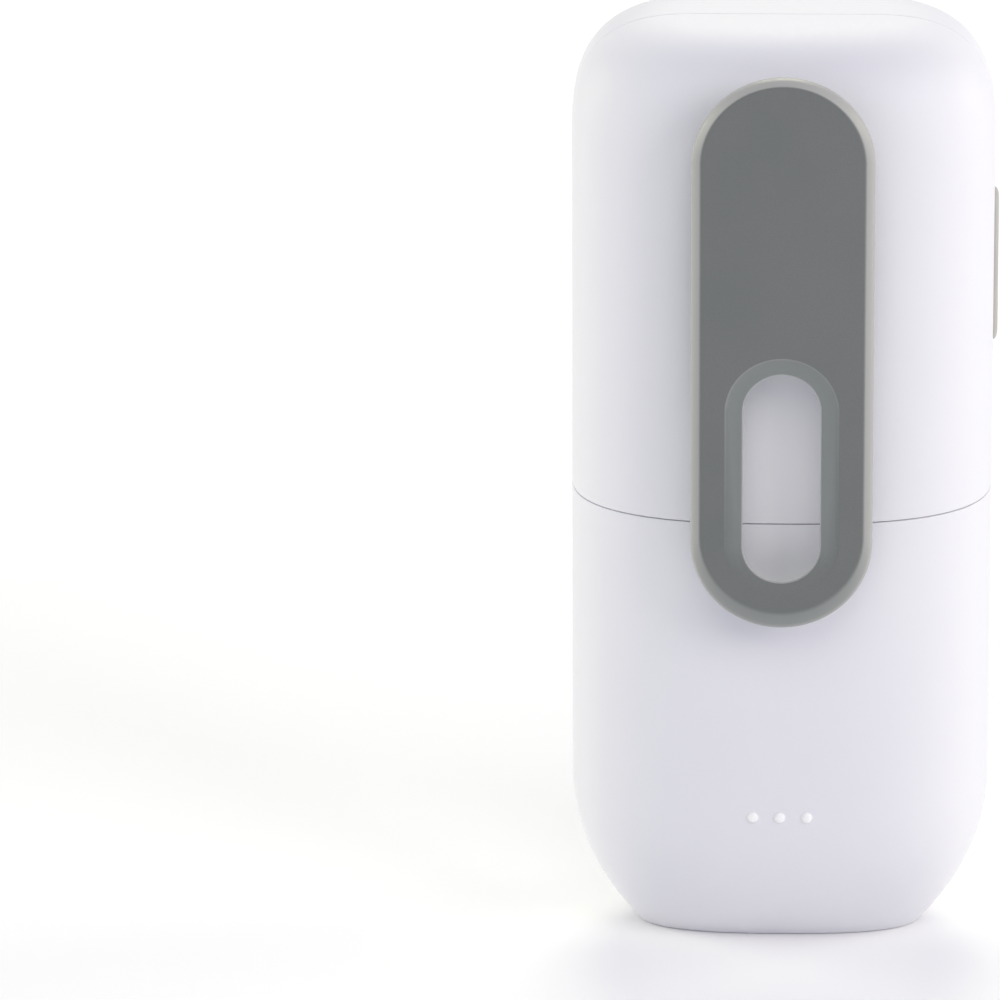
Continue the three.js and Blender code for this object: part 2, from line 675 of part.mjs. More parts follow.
function powerSwitchKnob() {
  const halfDepth = 1.1;
  const capX = HALF_WIDTH + 0.1;
  const ribX = capX + 0.3;
  const ribPitch = 0.9;
  const ribHalf = 0.2;
  const y0 = PORT_Y - halfDepth;
  const y1 = PORT_Y + halfDepth;
  const cap = block(-capX, -25, y0, y1, SWITCH_Z - KNOB_HALF, SWITCH_Z + KNOB_HALF);
  const ribs = [-1, 0, 1].map((step) => {
    const z = SWITCH_Z + step * ribPitch;
    return block(-ribX, -HALF_WIDTH, y0, y1, z - ribHalf, z + ribHalf);
  });
  return joined(cap, ...ribs);
}

// ---------------------------------------------------------------- speaker

const GASKET_FRONT = INNER_FRONT - 0.75; // clear of the wall, which curves away from the middle
const GASKET_THICK = 1.2;
const GASKET_WIDTH = 1.2;
const FRAME_FRONT = GASKET_FRONT - GASKET_THICK - GAP;
const FRAME_BACK = FRAME_FRONT - 4.6;
const FRAME_SHEET = 0.6;
const HUB_HOLE = 2.6; // middle of the basket, where the voice coil passes
const MAGNET_RADIUS = 6.2;

function speakerGasket() {
  return cut(
    toSolid(rodY(SPEAKER_RADIUS, GASKET_FRONT - GASKET_THICK, GASKET_FRONT, 0, GRILLE_Z, 24)),
    rodY(SPEAKER_RADIUS - GASKET_WIDTH, 0, REACH, 0, GRILLE_Z, 24),
  );
}

// An open-fronted steel basket.
function speakerFrame() {
  return toSolid(turnedY([
    [SPEAKER_RADIUS, FRAME_FRONT],
    [8.7, FRAME_FRONT],
    [8.4, FRAME_FRONT - 1],
    [5.2, FRAME_BACK + FRAME_SHEET],
    [HUB_HOLE, FRAME_BACK + FRAME_SHEET],
    [HUB_HOLE, FRAME_BACK],
    [5.8, FRAME_BACK],
    [8.9, FRAME_FRONT - 1.2],
    [SPEAKER_RADIUS, FRAME_FRONT - 1.2],
    [SPEAKER_RADIUS, FRAME_FRONT],
  ], 0, GRILLE_Z, 20));
}

// Paper cone with its surround and dust cap, and the voice coil behind it.
function speakerCone() {
  return toSolid(turnedY([
    [0, FRAME_FRONT - 0.3],
    [1.6, FRAME_FRONT - 0.7],
    [2.6, FRAME_FRONT - 1.6],
    [6.6, FRAME_FRONT - 0.4],
    [7.4, FRAME_FRONT - 0.1],
    [8.1, FRAME_FRONT - 0.5],
    [8.1, FRAME_FRONT - 0.8],
    [7.4, FRAME_FRONT - 0.4],
    [6.6, FRAME_FRONT - 0.8],
    [HUB_HOLE - GAP, FRAME_FRONT - 2.1],
    [HUB_HOLE - GAP, FRAME_BACK + 0.2],
    [0, FRAME_BACK + 0.2],
  ], 0, GRILLE_Z, 20));
}

function speakerMagnet() {
  const front = FRAME_BACK - GAP;
  return toSolid(turnedY([
    [0, front],
    [MAGNET_RADIUS - 0.4, front],
    [MAGNET_RADIUS, front - 0.4],
    [MAGNET_RADIUS, front - 3],
    [0, front - 3],
  ], 0, GRILLE_Z, 20));
}

// ---------------------------------------------------------------- pinhole camera

function lensWindow() {
  const face = HALF_DEPTH - 0.25;
  const radius = 0.7;
  const back = face - 1.3;
  return toSolid(turnedY([
    [0, face + 0.1],
    [radius - 0.2, face],
    [radius, face - 0.3],
    [radius, back],
    [0, back],
  ], 0, LENS_Z, 16));
}

const BARREL_FRONT = INNER_FRONT - GAP - 0.1;
const BARREL_BACK = 11.4;
const SENSOR_FRONT = BARREL_BACK - GAP;

function lensBarrel() {
  return cut(
    joined(
      rodY(1.3, BARREL_BACK + 1.1, BARREL_FRONT, 0, LENS_Z, 20),
      rodY(1.6, BARREL_BACK, BARREL_BACK + 2.1, 0, LENS_Z, 20),
    ),
    rodY(0.6, BARREL_FRONT - 1, REACH, 0, LENS_Z, 12),
  );
}

// A small board with the sensor's housing on it.
function imageSensor() {
  const boardFront = SENSOR_FRONT - 0.9;
  const top = LENS_Z + 1.4;
  return joined(
    block(-4, 4, boardFront - 0.8, boardFront, LENS_Z - 4.2, top),
    block(-2.2, 2.2, boardFront - 0.1, SENSOR_FRONT, LENS_Z - 2.2, top),
  );
}

// ---------------------------------------------------------------- charging contacts

const CONTACT_BLOCK_FRONT = 12.3;

// A bent metal leaf: a long leg, a round nose behind the slot and a short leg back.
function chargeContact(side) {
  const outer = 0.9; // bend radii, outside and inside the sheet
  const inner = 0.5;
  const root = CONTACT_BLOCK_FRONT + GAP;
  const bend = INNER_FRONT - 1.1;
  const shortEnd = bend - 1.5;
  const width = 0.8;
  const leaf = new THREE.Shape();
  leaf.moveTo(-outer, root);
  leaf.lineTo(-inner, root);
  leaf.lineTo(-inner, bend);
  leaf.absarc(0, bend, inner, Math.PI, 0, true);
  leaf.lineTo(inner, shortEnd);
  leaf.lineTo(outer, shortEnd);
  leaf.lineTo(outer, bend);
  leaf.absarc(0, bend, outer, 0, Math.PI, false);
  const strip = new THREE.ExtrudeGeometry(leaf, { depth: width, bevelEnabled: false, curveSegments: 5 });
  return toSolid(strip.rotateY(Math.PI / 2).translate(side * CHARGE_X - width / 2, 0, CHARGE_Z));
}

function chargeContactBlock() {
  const halfWidth = 3.4;
  const half = 2.4;
  const back = 8.6;
  return toSolid(block(-halfWidth, halfWidth, back, CONTACT_BLOCK_FRONT, CHARGE_Z - half, CHARGE_Z + half));
}

// ---------------------------------------------------------------- screws and leads

// A pan-head screw along Y. direction is +1 when the tip points to +Y.
function screw(x, z, headSeat, length, direction) {
  const headHeight = 1.5;
  const headRadius = 2;
  const crossReach = 0.9;
  const crossHalf = 0.22;
  const crossDepth = 0.7;
  const profile = [
    [0, length],
    [0.3, length],
    [SCREW_RADIUS, length - 1],
    [SCREW_RADIUS, 0],
    [headRadius, 0],
    [headRadius, -headHeight * 0.6],
    [headRadius * 0.6, -headHeight],
    [0, -headHeight],
  ];
  const placed = profile.map(([radius, along]) => [radius, headSeat + direction * along]);
  const body = toSolid(turnedY(placed, x, z, 10));
  const slotY = headSeat - direction * headHeight;
  const y0 = Math.min(slotY, slotY + direction * crossDepth) - 0.01;
  const y1 = Math.max(slotY, slotY + direction * crossDepth) + 0.01;
  return cut(
    body,
    block(x - crossReach, x + crossReach, y0, y1, z - crossHalf, z + crossHalf),
    block(x - crossHalf, x + crossHalf, y0, y1, z - crossReach, z + crossReach),
  );
}

// A lead from the back of the speaker to the board's upper half.
function speakerLead(side) {
  const leadRadius = 0.4;
  const points = [
    new THREE.Vector3(side * 7.2, FRAME_BACK - 0.4, GRILLE_Z + 4),
    new THREE.Vector3(side * 8.2, 8.6, GRILLE_Z + 6.5),
    new THREE.Vector3(side * 8.6, 7, GRILLE_Z + 9),
    new THREE.Vector3(side * 8.6, 5.9, GRILLE_Z + 11.5),
  ];
  return toSolid(wire(points, leadRadius, 10, 3));
}

// Leads from the cells, behind the tray and up to the board.
function batteryLead(side) {
  const leadRadius = 0.5;
  const points = [
    new THREE.Vector3(side * 5, -0.6, 40),
    new THREE.Vector3(side * 5.2, 0.4, 50),
    new THREE.Vector3(side * 4.4, 1.4, 60),
    new THREE.Vector3(side * 3.6, 2.6, 66),
    new THREE.Vector3(side * 3.2, 3.2, 70),
  ];
  return toSolid(wire(points, leadRadius, 10, 3));
}

// ---------------------------------------------------------------- finishes

const finish = {
  whiteShell: { color: 0xeceaf0, roughness: 0.42, metalness: 0 },
  softWhite: { color: 0xdfe0e2, roughness: 0.75, metalness: 0 },
  clipGrey: { color: 0x787e7c, roughness: 0.5, metalness: 0 },
  warmGrey: { color: 0xc6c3bd, roughness: 0.55, metalness: 0 },
  blackPlastic: { color: 0x1c1d20, roughness: 0.5, metalness: 0 },
  steel: { color: 0xa9acb0, roughness: 0.3, metalness: 1 },
  nickel: { color: 0xc9c6bd, roughness: 0.25, metalness: 1 },
  board: { color: 0x1f5a38, roughness: 0.5, metalness: 0 },
  copper: { color: 0xb8764a, roughness: 0.4, metalness: 1 },
  cellWrap: { color: 0x3a5f8c, roughness: 0.35, metalness: 0.2 },
  paper: { color: 0x18181a, roughness: 0.9, metalness: 0 },
  foam: { color: 0x2a2a2c, roughness: 1, metalness: 0 },
  clear: { color: 0xe8eef2, roughness: 0.05, metalness: 0 },
  redLead: { color: 0x9c1f1f, roughness: 0.5, metalness: 0 },
};

const materials = Object.fromEntries(
  Object.entries(finish).map(([name, values]) => [name, new THREE.MeshStandardMaterial(values)]),
);

// ---------------------------------------------------------------- assembly

const camera = new THREE.Group();

function add(name, solid, material) {
  const mesh = new THREE.Mesh(toGeometry(solid), materials[material]);
  mesh.name = name;
  camera.add(mesh);
}

add("front_shell", frontShell(), "whiteShell");
add("rear_shell", rearShell(), "whiteShell");
add("battery_cover", batteryCover(), "whiteShell");
add("foot_front", footHalf(PARTING_Y + GAP / 2, REACH), "softWhite");
add("foot_rear", footHalf(-REACH, PARTING_Y - GAP / 2), "softWhite");

add("belt_clip", beltClip(), "clipGrey");
add("clip_pin", clipPin(), "steel");
add("clip_spring", clipSpring(), "steel");

add("battery_tray", batteryTray(), "blackPlastic");
[-1, 0, 1].forEach((column, index) => {
  const x = column * CELL_PITCH;
  const isUp = column !== 0;
  add(`cell_${index + 1}`, cell(x, isUp), "cellWrap");
  add(`cell_contact_${index + 1}`, cellContact(x, isUp), "nickel");
  add(`cell_spring_${index + 1}`, cellSpring(x, isUp), "nickel");
});

add("main_board", mainBoard(), "board");
add("shield_can", shieldCan(), "steel");
add("antenna", antenna(), "copper");
add("microphone", microphone(), "nickel");

add("speaker_gasket", speakerGasket(), "foam");
add("speaker_frame", speakerFrame(), "steel");
add("speaker_cone", speakerCone(), "paper");
add("speaker_magnet", speakerMagnet(), "steel");

add("lens_window", lensWindow(), "clear");
add("lens_barrel", lensBarrel(), "blackPlastic");
add("image_sensor", imageSensor(), "board");

add("volume_rocker", volumeRocker(), "warmGrey");
add("rocker_board", rockerBoard(), "board");
add("tact_switch_upper", tactSwitch(ROCKER_Z + TACT_PITCH), "blackPlastic");
add("tact_switch_lower", tactSwitch(ROCKER_Z - TACT_PITCH), "blackPlastic");

add("side_board", sideBoard(), "board");
add("usb_socket", usbSocket(), "nickel");
add("power_switch_body", powerSwitchBody(), "steel");
add("power_switch_knob", powerSwitchKnob(), "warmGrey");

add("charge_contact_block", chargeContactBlock(), "blackPlastic");
add("charge_contact_left", chargeContact(-1), "nickel");
add("charge_contact_right", chargeContact(1), "nickel");

const TRAY_SCREW_LENGTH = 8; // for the wells and the tray's ears
const BOARD_SCREW_LENGTH = 7;
const TOP_SCREW_LENGTH = 16;
wells.forEach(({ x, z }, index) => {
  const name = index === 0 ? "screw_well_left" : "screw_well_right";
  add(name, screw(x, z, WELL_FLOOR_Y + GAP, TRAY_SCREW_LENGTH, -1), "steel");
});
trayScrews.forEach(({ x, z }, index) => {
  const name = index === 0 ? "screw_tray_left" : "screw_tray_right";
  add(name, screw(x, z, TRAY_FACE - GAP, TRAY_SCREW_LENGTH, 1), "steel");
});
boardScrews.forEach(({ x, z }, index) => {
  const name = index === 0 ? "screw_board_upper" : "screw_board_lower";
  add(name, screw(x, z, BOARD_BACK_Y - GAP, BOARD_SCREW_LENGTH, 1), "steel");
});
const topScrewSeat = -HALF_DEPTH + TOP_RECESS_DEPTH - GAP;
add("screw_top", screw(0, TOP_SCREW_Z, topScrewSeat, TOP_SCREW_LENGTH, 1), "steel");

add("speaker_lead_1", speakerLead(-1), "redLead");
add("speaker_lead_2", speakerLead(1), "blackPlastic");
add("battery_lead_1", batteryLead(-1), "redLead");
add("battery_lead_2", batteryLead(1), "blackPlastic");

export default camera;
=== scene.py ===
"""Baby monitor camera: its looks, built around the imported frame.

Metres, +Z up. The belt clip faces -Y, the grille and the pinhole lens face +Y.
"""

import json
import math

import bmesh
import bpy
import numpy as np
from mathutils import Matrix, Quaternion, Vector
from mathutils.geometry import delaunay_2d_cdt

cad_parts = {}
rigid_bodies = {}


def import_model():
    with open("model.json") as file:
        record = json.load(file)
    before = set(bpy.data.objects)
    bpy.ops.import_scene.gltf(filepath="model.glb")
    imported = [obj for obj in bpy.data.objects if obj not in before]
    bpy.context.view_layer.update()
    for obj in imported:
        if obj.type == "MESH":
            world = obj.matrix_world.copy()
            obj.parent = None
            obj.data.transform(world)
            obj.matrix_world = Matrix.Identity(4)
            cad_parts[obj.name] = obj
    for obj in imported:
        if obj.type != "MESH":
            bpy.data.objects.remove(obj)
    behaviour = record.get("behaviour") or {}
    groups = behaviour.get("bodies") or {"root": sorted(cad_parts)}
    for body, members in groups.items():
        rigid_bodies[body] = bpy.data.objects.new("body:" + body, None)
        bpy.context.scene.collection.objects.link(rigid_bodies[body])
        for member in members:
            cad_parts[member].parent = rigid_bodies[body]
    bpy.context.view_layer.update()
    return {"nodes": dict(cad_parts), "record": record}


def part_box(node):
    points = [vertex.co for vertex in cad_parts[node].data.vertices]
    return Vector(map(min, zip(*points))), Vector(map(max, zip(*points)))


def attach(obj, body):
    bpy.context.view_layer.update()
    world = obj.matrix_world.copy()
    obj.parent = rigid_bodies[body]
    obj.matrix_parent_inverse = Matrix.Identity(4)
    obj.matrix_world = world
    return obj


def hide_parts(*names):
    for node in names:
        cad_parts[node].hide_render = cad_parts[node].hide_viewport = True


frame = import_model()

MM = 0.001
TINY = 1e-9

# ---------------------------------------------------------------- sizes read from the frame

shell_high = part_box("front_shell")[1]
cover_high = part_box("battery_cover")[1]
rear_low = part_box("rear_shell")[0]
foot_low, foot_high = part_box("foot_front")
clip_low, clip_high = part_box("belt_clip")
rocker_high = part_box("volume_rocker")[1]

GAP = 0.3 * MM  # the frame's clearance between neighbours
WALL = 1.8 * MM
HALF_WIDTH = shell_high.x
HALF_DEPTH = shell_high.y
TOP_Z = shell_high.z
RIM_Z = foot_low.z + 0.06 * MM  # the shells' rim comes down over the thin foot
PARTING_Y = cover_high.y + GAP / 2
SEAM_Z = rear_low.z - GAP / 2

# ---------------------------------------------------------------- the housing's form

PLAN_POWER = 2.6  # superellipse power of the plan section
TOP_CORNER = 17 * MM
TOP_CORNER_Y = 15 * MM
TOP_POWER = 2.8
BASE_CORNER = 22 * MM
BASE_TUCK_X = 9 * MM
BASE_TUCK_Y = 11.2 * MM
LEAST_DEPTH = 3 * MM  # keeps the drawn-in form from closing at its ends

EDGE = 0.1 * MM  # rounding of the shells' edges where they meet
PARTING_SHUT = 0.11 * MM  # how far each shell reaches into the clearance between them
SEAM_EDGE = 0.12 * MM  # rounding at the cross seam
RIM_EDGE = 0.12 * MM  # rounding where the sides meet the base
SEAM_SHUT = 0.07 * MM  # how far each piece reaches into the seam's clearance
LIP_HEIGHT = 1.2 * MM  # lap joint behind the seam
LIP_DEPTH = 0.85 * MM
LIP_PLAY = 0.1 * MM
GRID = 0.9 * MM  # spacing of the wall's rows and columns


def rounding(radius, steps=3):
    """A quarter round as (distance left to the edge, depth) pairs, from the face to the edge."""
    turns = [math.pi / 2 * i / steps for i in range(steps + 1)]
    return [(radius * (1 - math.sin(a)), radius * (1 - math.cos(a))) for a in turns]


def spread(v):
    return np.sign(v) * np.abs(v) ** (2 / PLAN_POWER)


def gather(v):
    return np.sign(v) * np.abs(v) ** (PLAN_POWER / 2)


def pull_in(z, inset, reach, tuck):
    """How far the wall has drawn in at height z, by the round shoulder and by the tuck to the base."""
    above = np.clip((z - (TOP_Z - inset - TOP_CORNER)) / TOP_CORNER, 0, 1)
    below = np.clip((RIM_Z + inset + BASE_CORNER - z) / BASE_CORNER, 0, 1)
    return reach * (1 - (1 - above**TOP_POWER) ** (1 / TOP_POWER)) + tuck * below**2


def half_sizes(z, inset):
    """Half width and half depth of the form drawn in by inset, at height z."""
    width = HALF_WIDTH - inset - pull_in(z, inset, TOP_CORNER, BASE_TUCK_X)
    depth = HALF_DEPTH - inset - pull_in(z, inset, TOP_CORNER_Y, BASE_TUCK_Y)
    return width, np.maximum(depth, LEAST_DEPTH)


def form_normal(x, y, z):
    """Outward normal of the outer form at a point on it."""
    step = 1e-6
    z = min(z, TOP_Z - 2 * step)
    width, depth = half_sizes(z, 0)
    wider, deeper = half_sizes(z + step, 0)
    along, across = abs(x / width), abs(y / depth)
    growth_x, growth_y = (wider - width) / step, (deeper - depth) / step
    normal = Vector((
        math.copysign(along ** (PLAN_POWER - 1), x) / width,
        math.copysign(across ** (PLAN_POWER - 1), y) / depth,
        -(along**PLAN_POWER * growth_x / width + across**PLAN_POWER * growth_y / depth),
    ))
    return normal.normalized()


# ---------------------------------------------------------------- mesh building

FINISHES = {}  # material by name, filled by make_finishes


class Shape:
    """Collects points and faces, then becomes one mesh object that rides on a body."""

    def __init__(self):
        self.points = []
        self.faces = []
        self.normals = {}

    def add(self, point, normal=None):
        self.points.append(tuple(point))
        if normal is not None:
            self.normals[len(self.points) - 1] = tuple(normal)
        return len(self.points) - 1

    def ring(self, points, normal=None):
        return [self.add(point, normal) for point in points]

    def strip(self, one, two, closed=True):
        """Faces between two rows of points."""
        count = len(one)
        for i in range(count if closed else count - 1):
            j = (i + 1) % count
            self.faces.append((one[i], one[j], two[j], two[i]))

    def strips(self, rows, closed=True):
        for one, two in zip(rows, rows[1:]):
            self.strip(one, two, closed)

    def fill_flat(self, outer, inner):
        """Faces between two rows that lie on one plane across Y."""
        outer, inner = [
            [(i, (self.points[i][0] / MM, self.points[i][2] / MM)) for i in row] for row in (outer, inner)
        ]
        self.faces += triangulate(outer, [inner])

    def fan(self, ring, tip):
        for i, start in enumerate(ring):
            self.faces.append((start, ring[(i + 1) % len(ring)], tip))

    def welded(self):
        """The points without repeats, the faces on them, and each point's exact normal if it has one."""
        cell, shift = 2e-8, 0.3  # the shift keeps round sizes away from the cells' borders
        found, where, points, normals = {}, [], [], []
        for index, point in enumerate(self.points):
            key = tuple(round(c / cell + shift) for c in point)
            if key not in found:
                found[key] = len(points)
                points.append(point)
                normals.append(None)
            where.append(found[key])
            if index in self.normals:
                normals[found[key]] = self.normals[index]
        faces = []
        for face in self.faces:
            corners = [where[i] for i in face]
            corners = [c for i, c in enumerate(corners) if c != corners[i - 1]]
            if len(corners) > 2:
                faces.append(corners)
        used = sorted({c for face in faces for c in face})
        short = {old: new for new, old in enumerate(used)}
        faces = [[short[c] for c in face] for face in faces]
        return [points[i] for i in used], faces, [normals[i] for i in used]

    def finish(self, name, slot, node=None, body="housing", crease=40, look=None):
        """Makes the piece, in place of the frame's node if one is given. look names another finish."""
        points, faces, normals = self.welded()
        mesh = bpy.data.meshes.new(name)
        mesh.from_pydata(points, [], faces)
        build = bmesh.new()
        build.from_mesh(mesh)
        bmesh.ops.recalc_face_normals(build, faces=build.faces)
        big = [face for face in build.faces if len(face.verts) > 4]
        bmesh.ops.triangulate(build, faces=big)
        build.to_mesh(mesh)
        build.free()
        mesh.polygons.foreach_set("use_smooth", [True] * len(mesh.polygons))
        mesh.set_sharp_from_angle(angle=math.radians(crease))
        if any(normals):
            corners = [normals[loop.vertex_index] or (0, 0, 0) for loop in mesh.loops]
            mesh.normals_split_custom_set(corners)
        piece = bpy.data.objects.new(name, mesh)
        bpy.context.scene.collection.objects.link(piece)
        if not any(normals):
            weigh = piece.modifiers.new("even_shading", "WEIGHTED_NORMAL")
            weigh.keep_sharp = True
        mesh.materials.append(FINISHES[look or slot])
        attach(piece, body)
        if node:
            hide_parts(node)


def outline(a, b, radius, steps):
    """A rounded rectangle with straight halves a and b, or a pill or a circle where they are 0."""
    points = []
    for quarter, (side_u, side_v) in enumerate([(1, 1), (-1, 1), (-1, -1), (1, -1)]):
        for i in range(steps):
            turn = math.pi / 2 * (quarter + (i + 0.5) / steps)
            points.append((side_u * a + radius * math.cos(turn), side_v * b + radius * math.sin(turn)))
    return points


def soften(line, radius, closed=False, steps=3, most=0.45):
    """A polyline with its corners rounded, each over at most a share of its two sides."""
    line = [Vector(point) for point in line]
    count = len(line)
    made = []
    for i, corner in enumerate(line):
        if not closed and i in (0, count - 1):
            made.append(tuple(corner))
            continue
        before, after = line[i - 1] - corner, line[(i + 1) % count] - corner
        reach = min(radius, most * before.length, most * after.length)
        start, end = corner + before.normalized() * reach, corner + after.normalized() * reach
        for k in range(steps + 1):
            s = k / steps
            made.append(tuple(start * (1 - s) ** 2 + corner * 2 * s * (1 - s) + end * s**2))
    return made


AXES = {
    "X": lambda u, v, w: (w, u, v),  # u along Y, v along Z
    "Y": lambda u, v, w: (u, w, v),  # u along X, v along Z
    "Z": lambda u, v, w: (u, v, w),
}


def turned(profile, axis, centre, sides=64, edge=0.0):
    """A turned piece. The profile is (radius, place along the axis) pairs; centre is the other two."""
    shape = Shape()
    place = AXES[axis]
    if edge:
        profile = soften(profile, edge)
    rows = []
    for radius, along in profile:
        turns = [2 * math.pi * i / sides for i in range(sides)] if radius > TINY else [0]
        row = [
            place(centre[0] + radius * math.cos(t), centre[1] + radius * math.sin(t), along) for t in turns
        ]
        rows.append(shape.ring(row))
    join_rows(shape, rows)
    return shape


def join_rows(shape, rows):
    """Strips between rows, where a row of one point is a tip."""
    for one, two in zip(rows, rows[1:]):
        if len(one) == 1:
            shape.fan(two, one[0])
        elif len(two) == 1:
            shape.fan(one, two[0])
        else:
            shape.strip(one, two)


def prism(shape, points, low, high, axis, edge):
    """A straight-sided solid on a closed convex outline, with its edges rounded."""
    place = AXES[axis]
    flat = [Vector(point) for point in points]
    count = len(flat)
    middle = sum(flat, Vector((0, 0))) / count
    inward = []
    for i, point in enumerate(flat):
        along = (flat[(i + 1) % count] - flat[i - 1]).normalized()
        normal = Vector((-along.y, along.x))
        inward.append(normal if normal.dot(middle - point) > 0 else -normal)
    direction = Vector(place(0, 0, 1))

    def level(left, depth, end, sense):
        moved = [p + n * depth for p, n in zip(flat, inward)]
        normal = direction * -sense if left < TINY else None
        return shape.ring([place(p.x, p.y, end + sense * left) for p in moved], normal)

    lower = [level(left, depth, low, 1) for left, depth in reversed(rounding(edge))]
    upper = [level(left, depth, high, -1) for left, depth in rounding(edge)]
    shape.strips(lower + upper)
    shape.faces += [lower[0][::-1], upper[-1]]
    return shape


def slab(low, high, edge, corner=0.0):
    """A box between two corners, with rounded edges."""
    points = [(low[0], low[1]), (high[0], low[1]), (high[0], high[1]), (low[0], high[1])]
    points = soften(points, corner or 2 * edge, closed=True)
    return prism(Shape(), points, low[2], high[2], "Z", edge)


def tube(points, radius, sides=12):
    """A round wire along a list of points, with flat ends."""
    shape = Shape()
    line = [Vector(point) for point in points]
    across = None
    rows = []
    for i, point in enumerate(line):
        along = (line[min(i + 1, len(line) - 1)] - line[max(i - 1, 0)]).normalized()
        if across is None:
            across = along.orthogonal().normalized()
        across = (across - along * across.dot(along)).normalized()
        other = along.cross(across)
        turns = [2 * math.pi * k / sides for k in range(sides)]
        circle = [point + radius * (across * math.cos(t) + other * math.sin(t)) for t in turns]
        rows.append(shape.ring(circle))
    shape.strips(rows)
    shape.faces += [rows[0][::-1], rows[-1]]
    return shape


def turns_right(points):
    """Whether a closed flat outline runs clockwise."""
    return sum(p[0] * q[1] - p[1] * q[0] for p, q in zip(points, points[1:] + points[:1])) < 0


def triangulate(places, outlines):
    """Triangles between flat places that leave the outlines' insides open.

    A place is (identity, (u, v) in mm)."""
    same = 1e-7
    flat, identity, faces = [], [], []
    for name, place in places:
        flat.append(Vector(place))
        identity.append(name)
    for ring in outlines:
        if turns_right([place for _, place in ring]):
            ring = ring[::-1]
        faces.append(list(range(len(flat), len(flat) + len(ring))))
        for name, place in ring:
            flat.append(Vector(place))
            identity.append(name)
    result = delaunay_2d_cdt(flat, [], faces, 0, same)
    triangles, source, inside = result[2], result[3], result[5]
    return [
        [identity[source[corner][0]] for corner in triangle]
        for triangle, within in zip(triangles, inside)
        if not within
    ]


# ---------------------------------------------------------------- the housing's wall


class Hole:
    """An opening, a blind recess or an inner boss on the wall.

    face says what u means: "front" for x, "+x" or "-x" for y. rings are (radius, kind, value) from the
    outer surface inwards, where kind is "drop", a distance below the surface, or "at", a place along the
    face's axis. inner is the radius at the inside of the wall, and tip closes a blind one. outside is
    false for a boss that is only on the inside."""

    def __init__(self, face, u, z, rings, a=0.0, b=0.0, steps=6, inner=None, tip=None, outside=True):
        self.face, self.u, self.z = face, u, z
        self.rings, self.a, self.b, self.steps = rings, a, b, steps
        self.inner, self.tip, self.outside = inner, tip, outside


def mouth(radius, edge, steps=2):
    """The rounded mouth of a hole, as rings."""
    return [(radius + left, "drop", depth) for left, depth in rounding(edge, steps)]


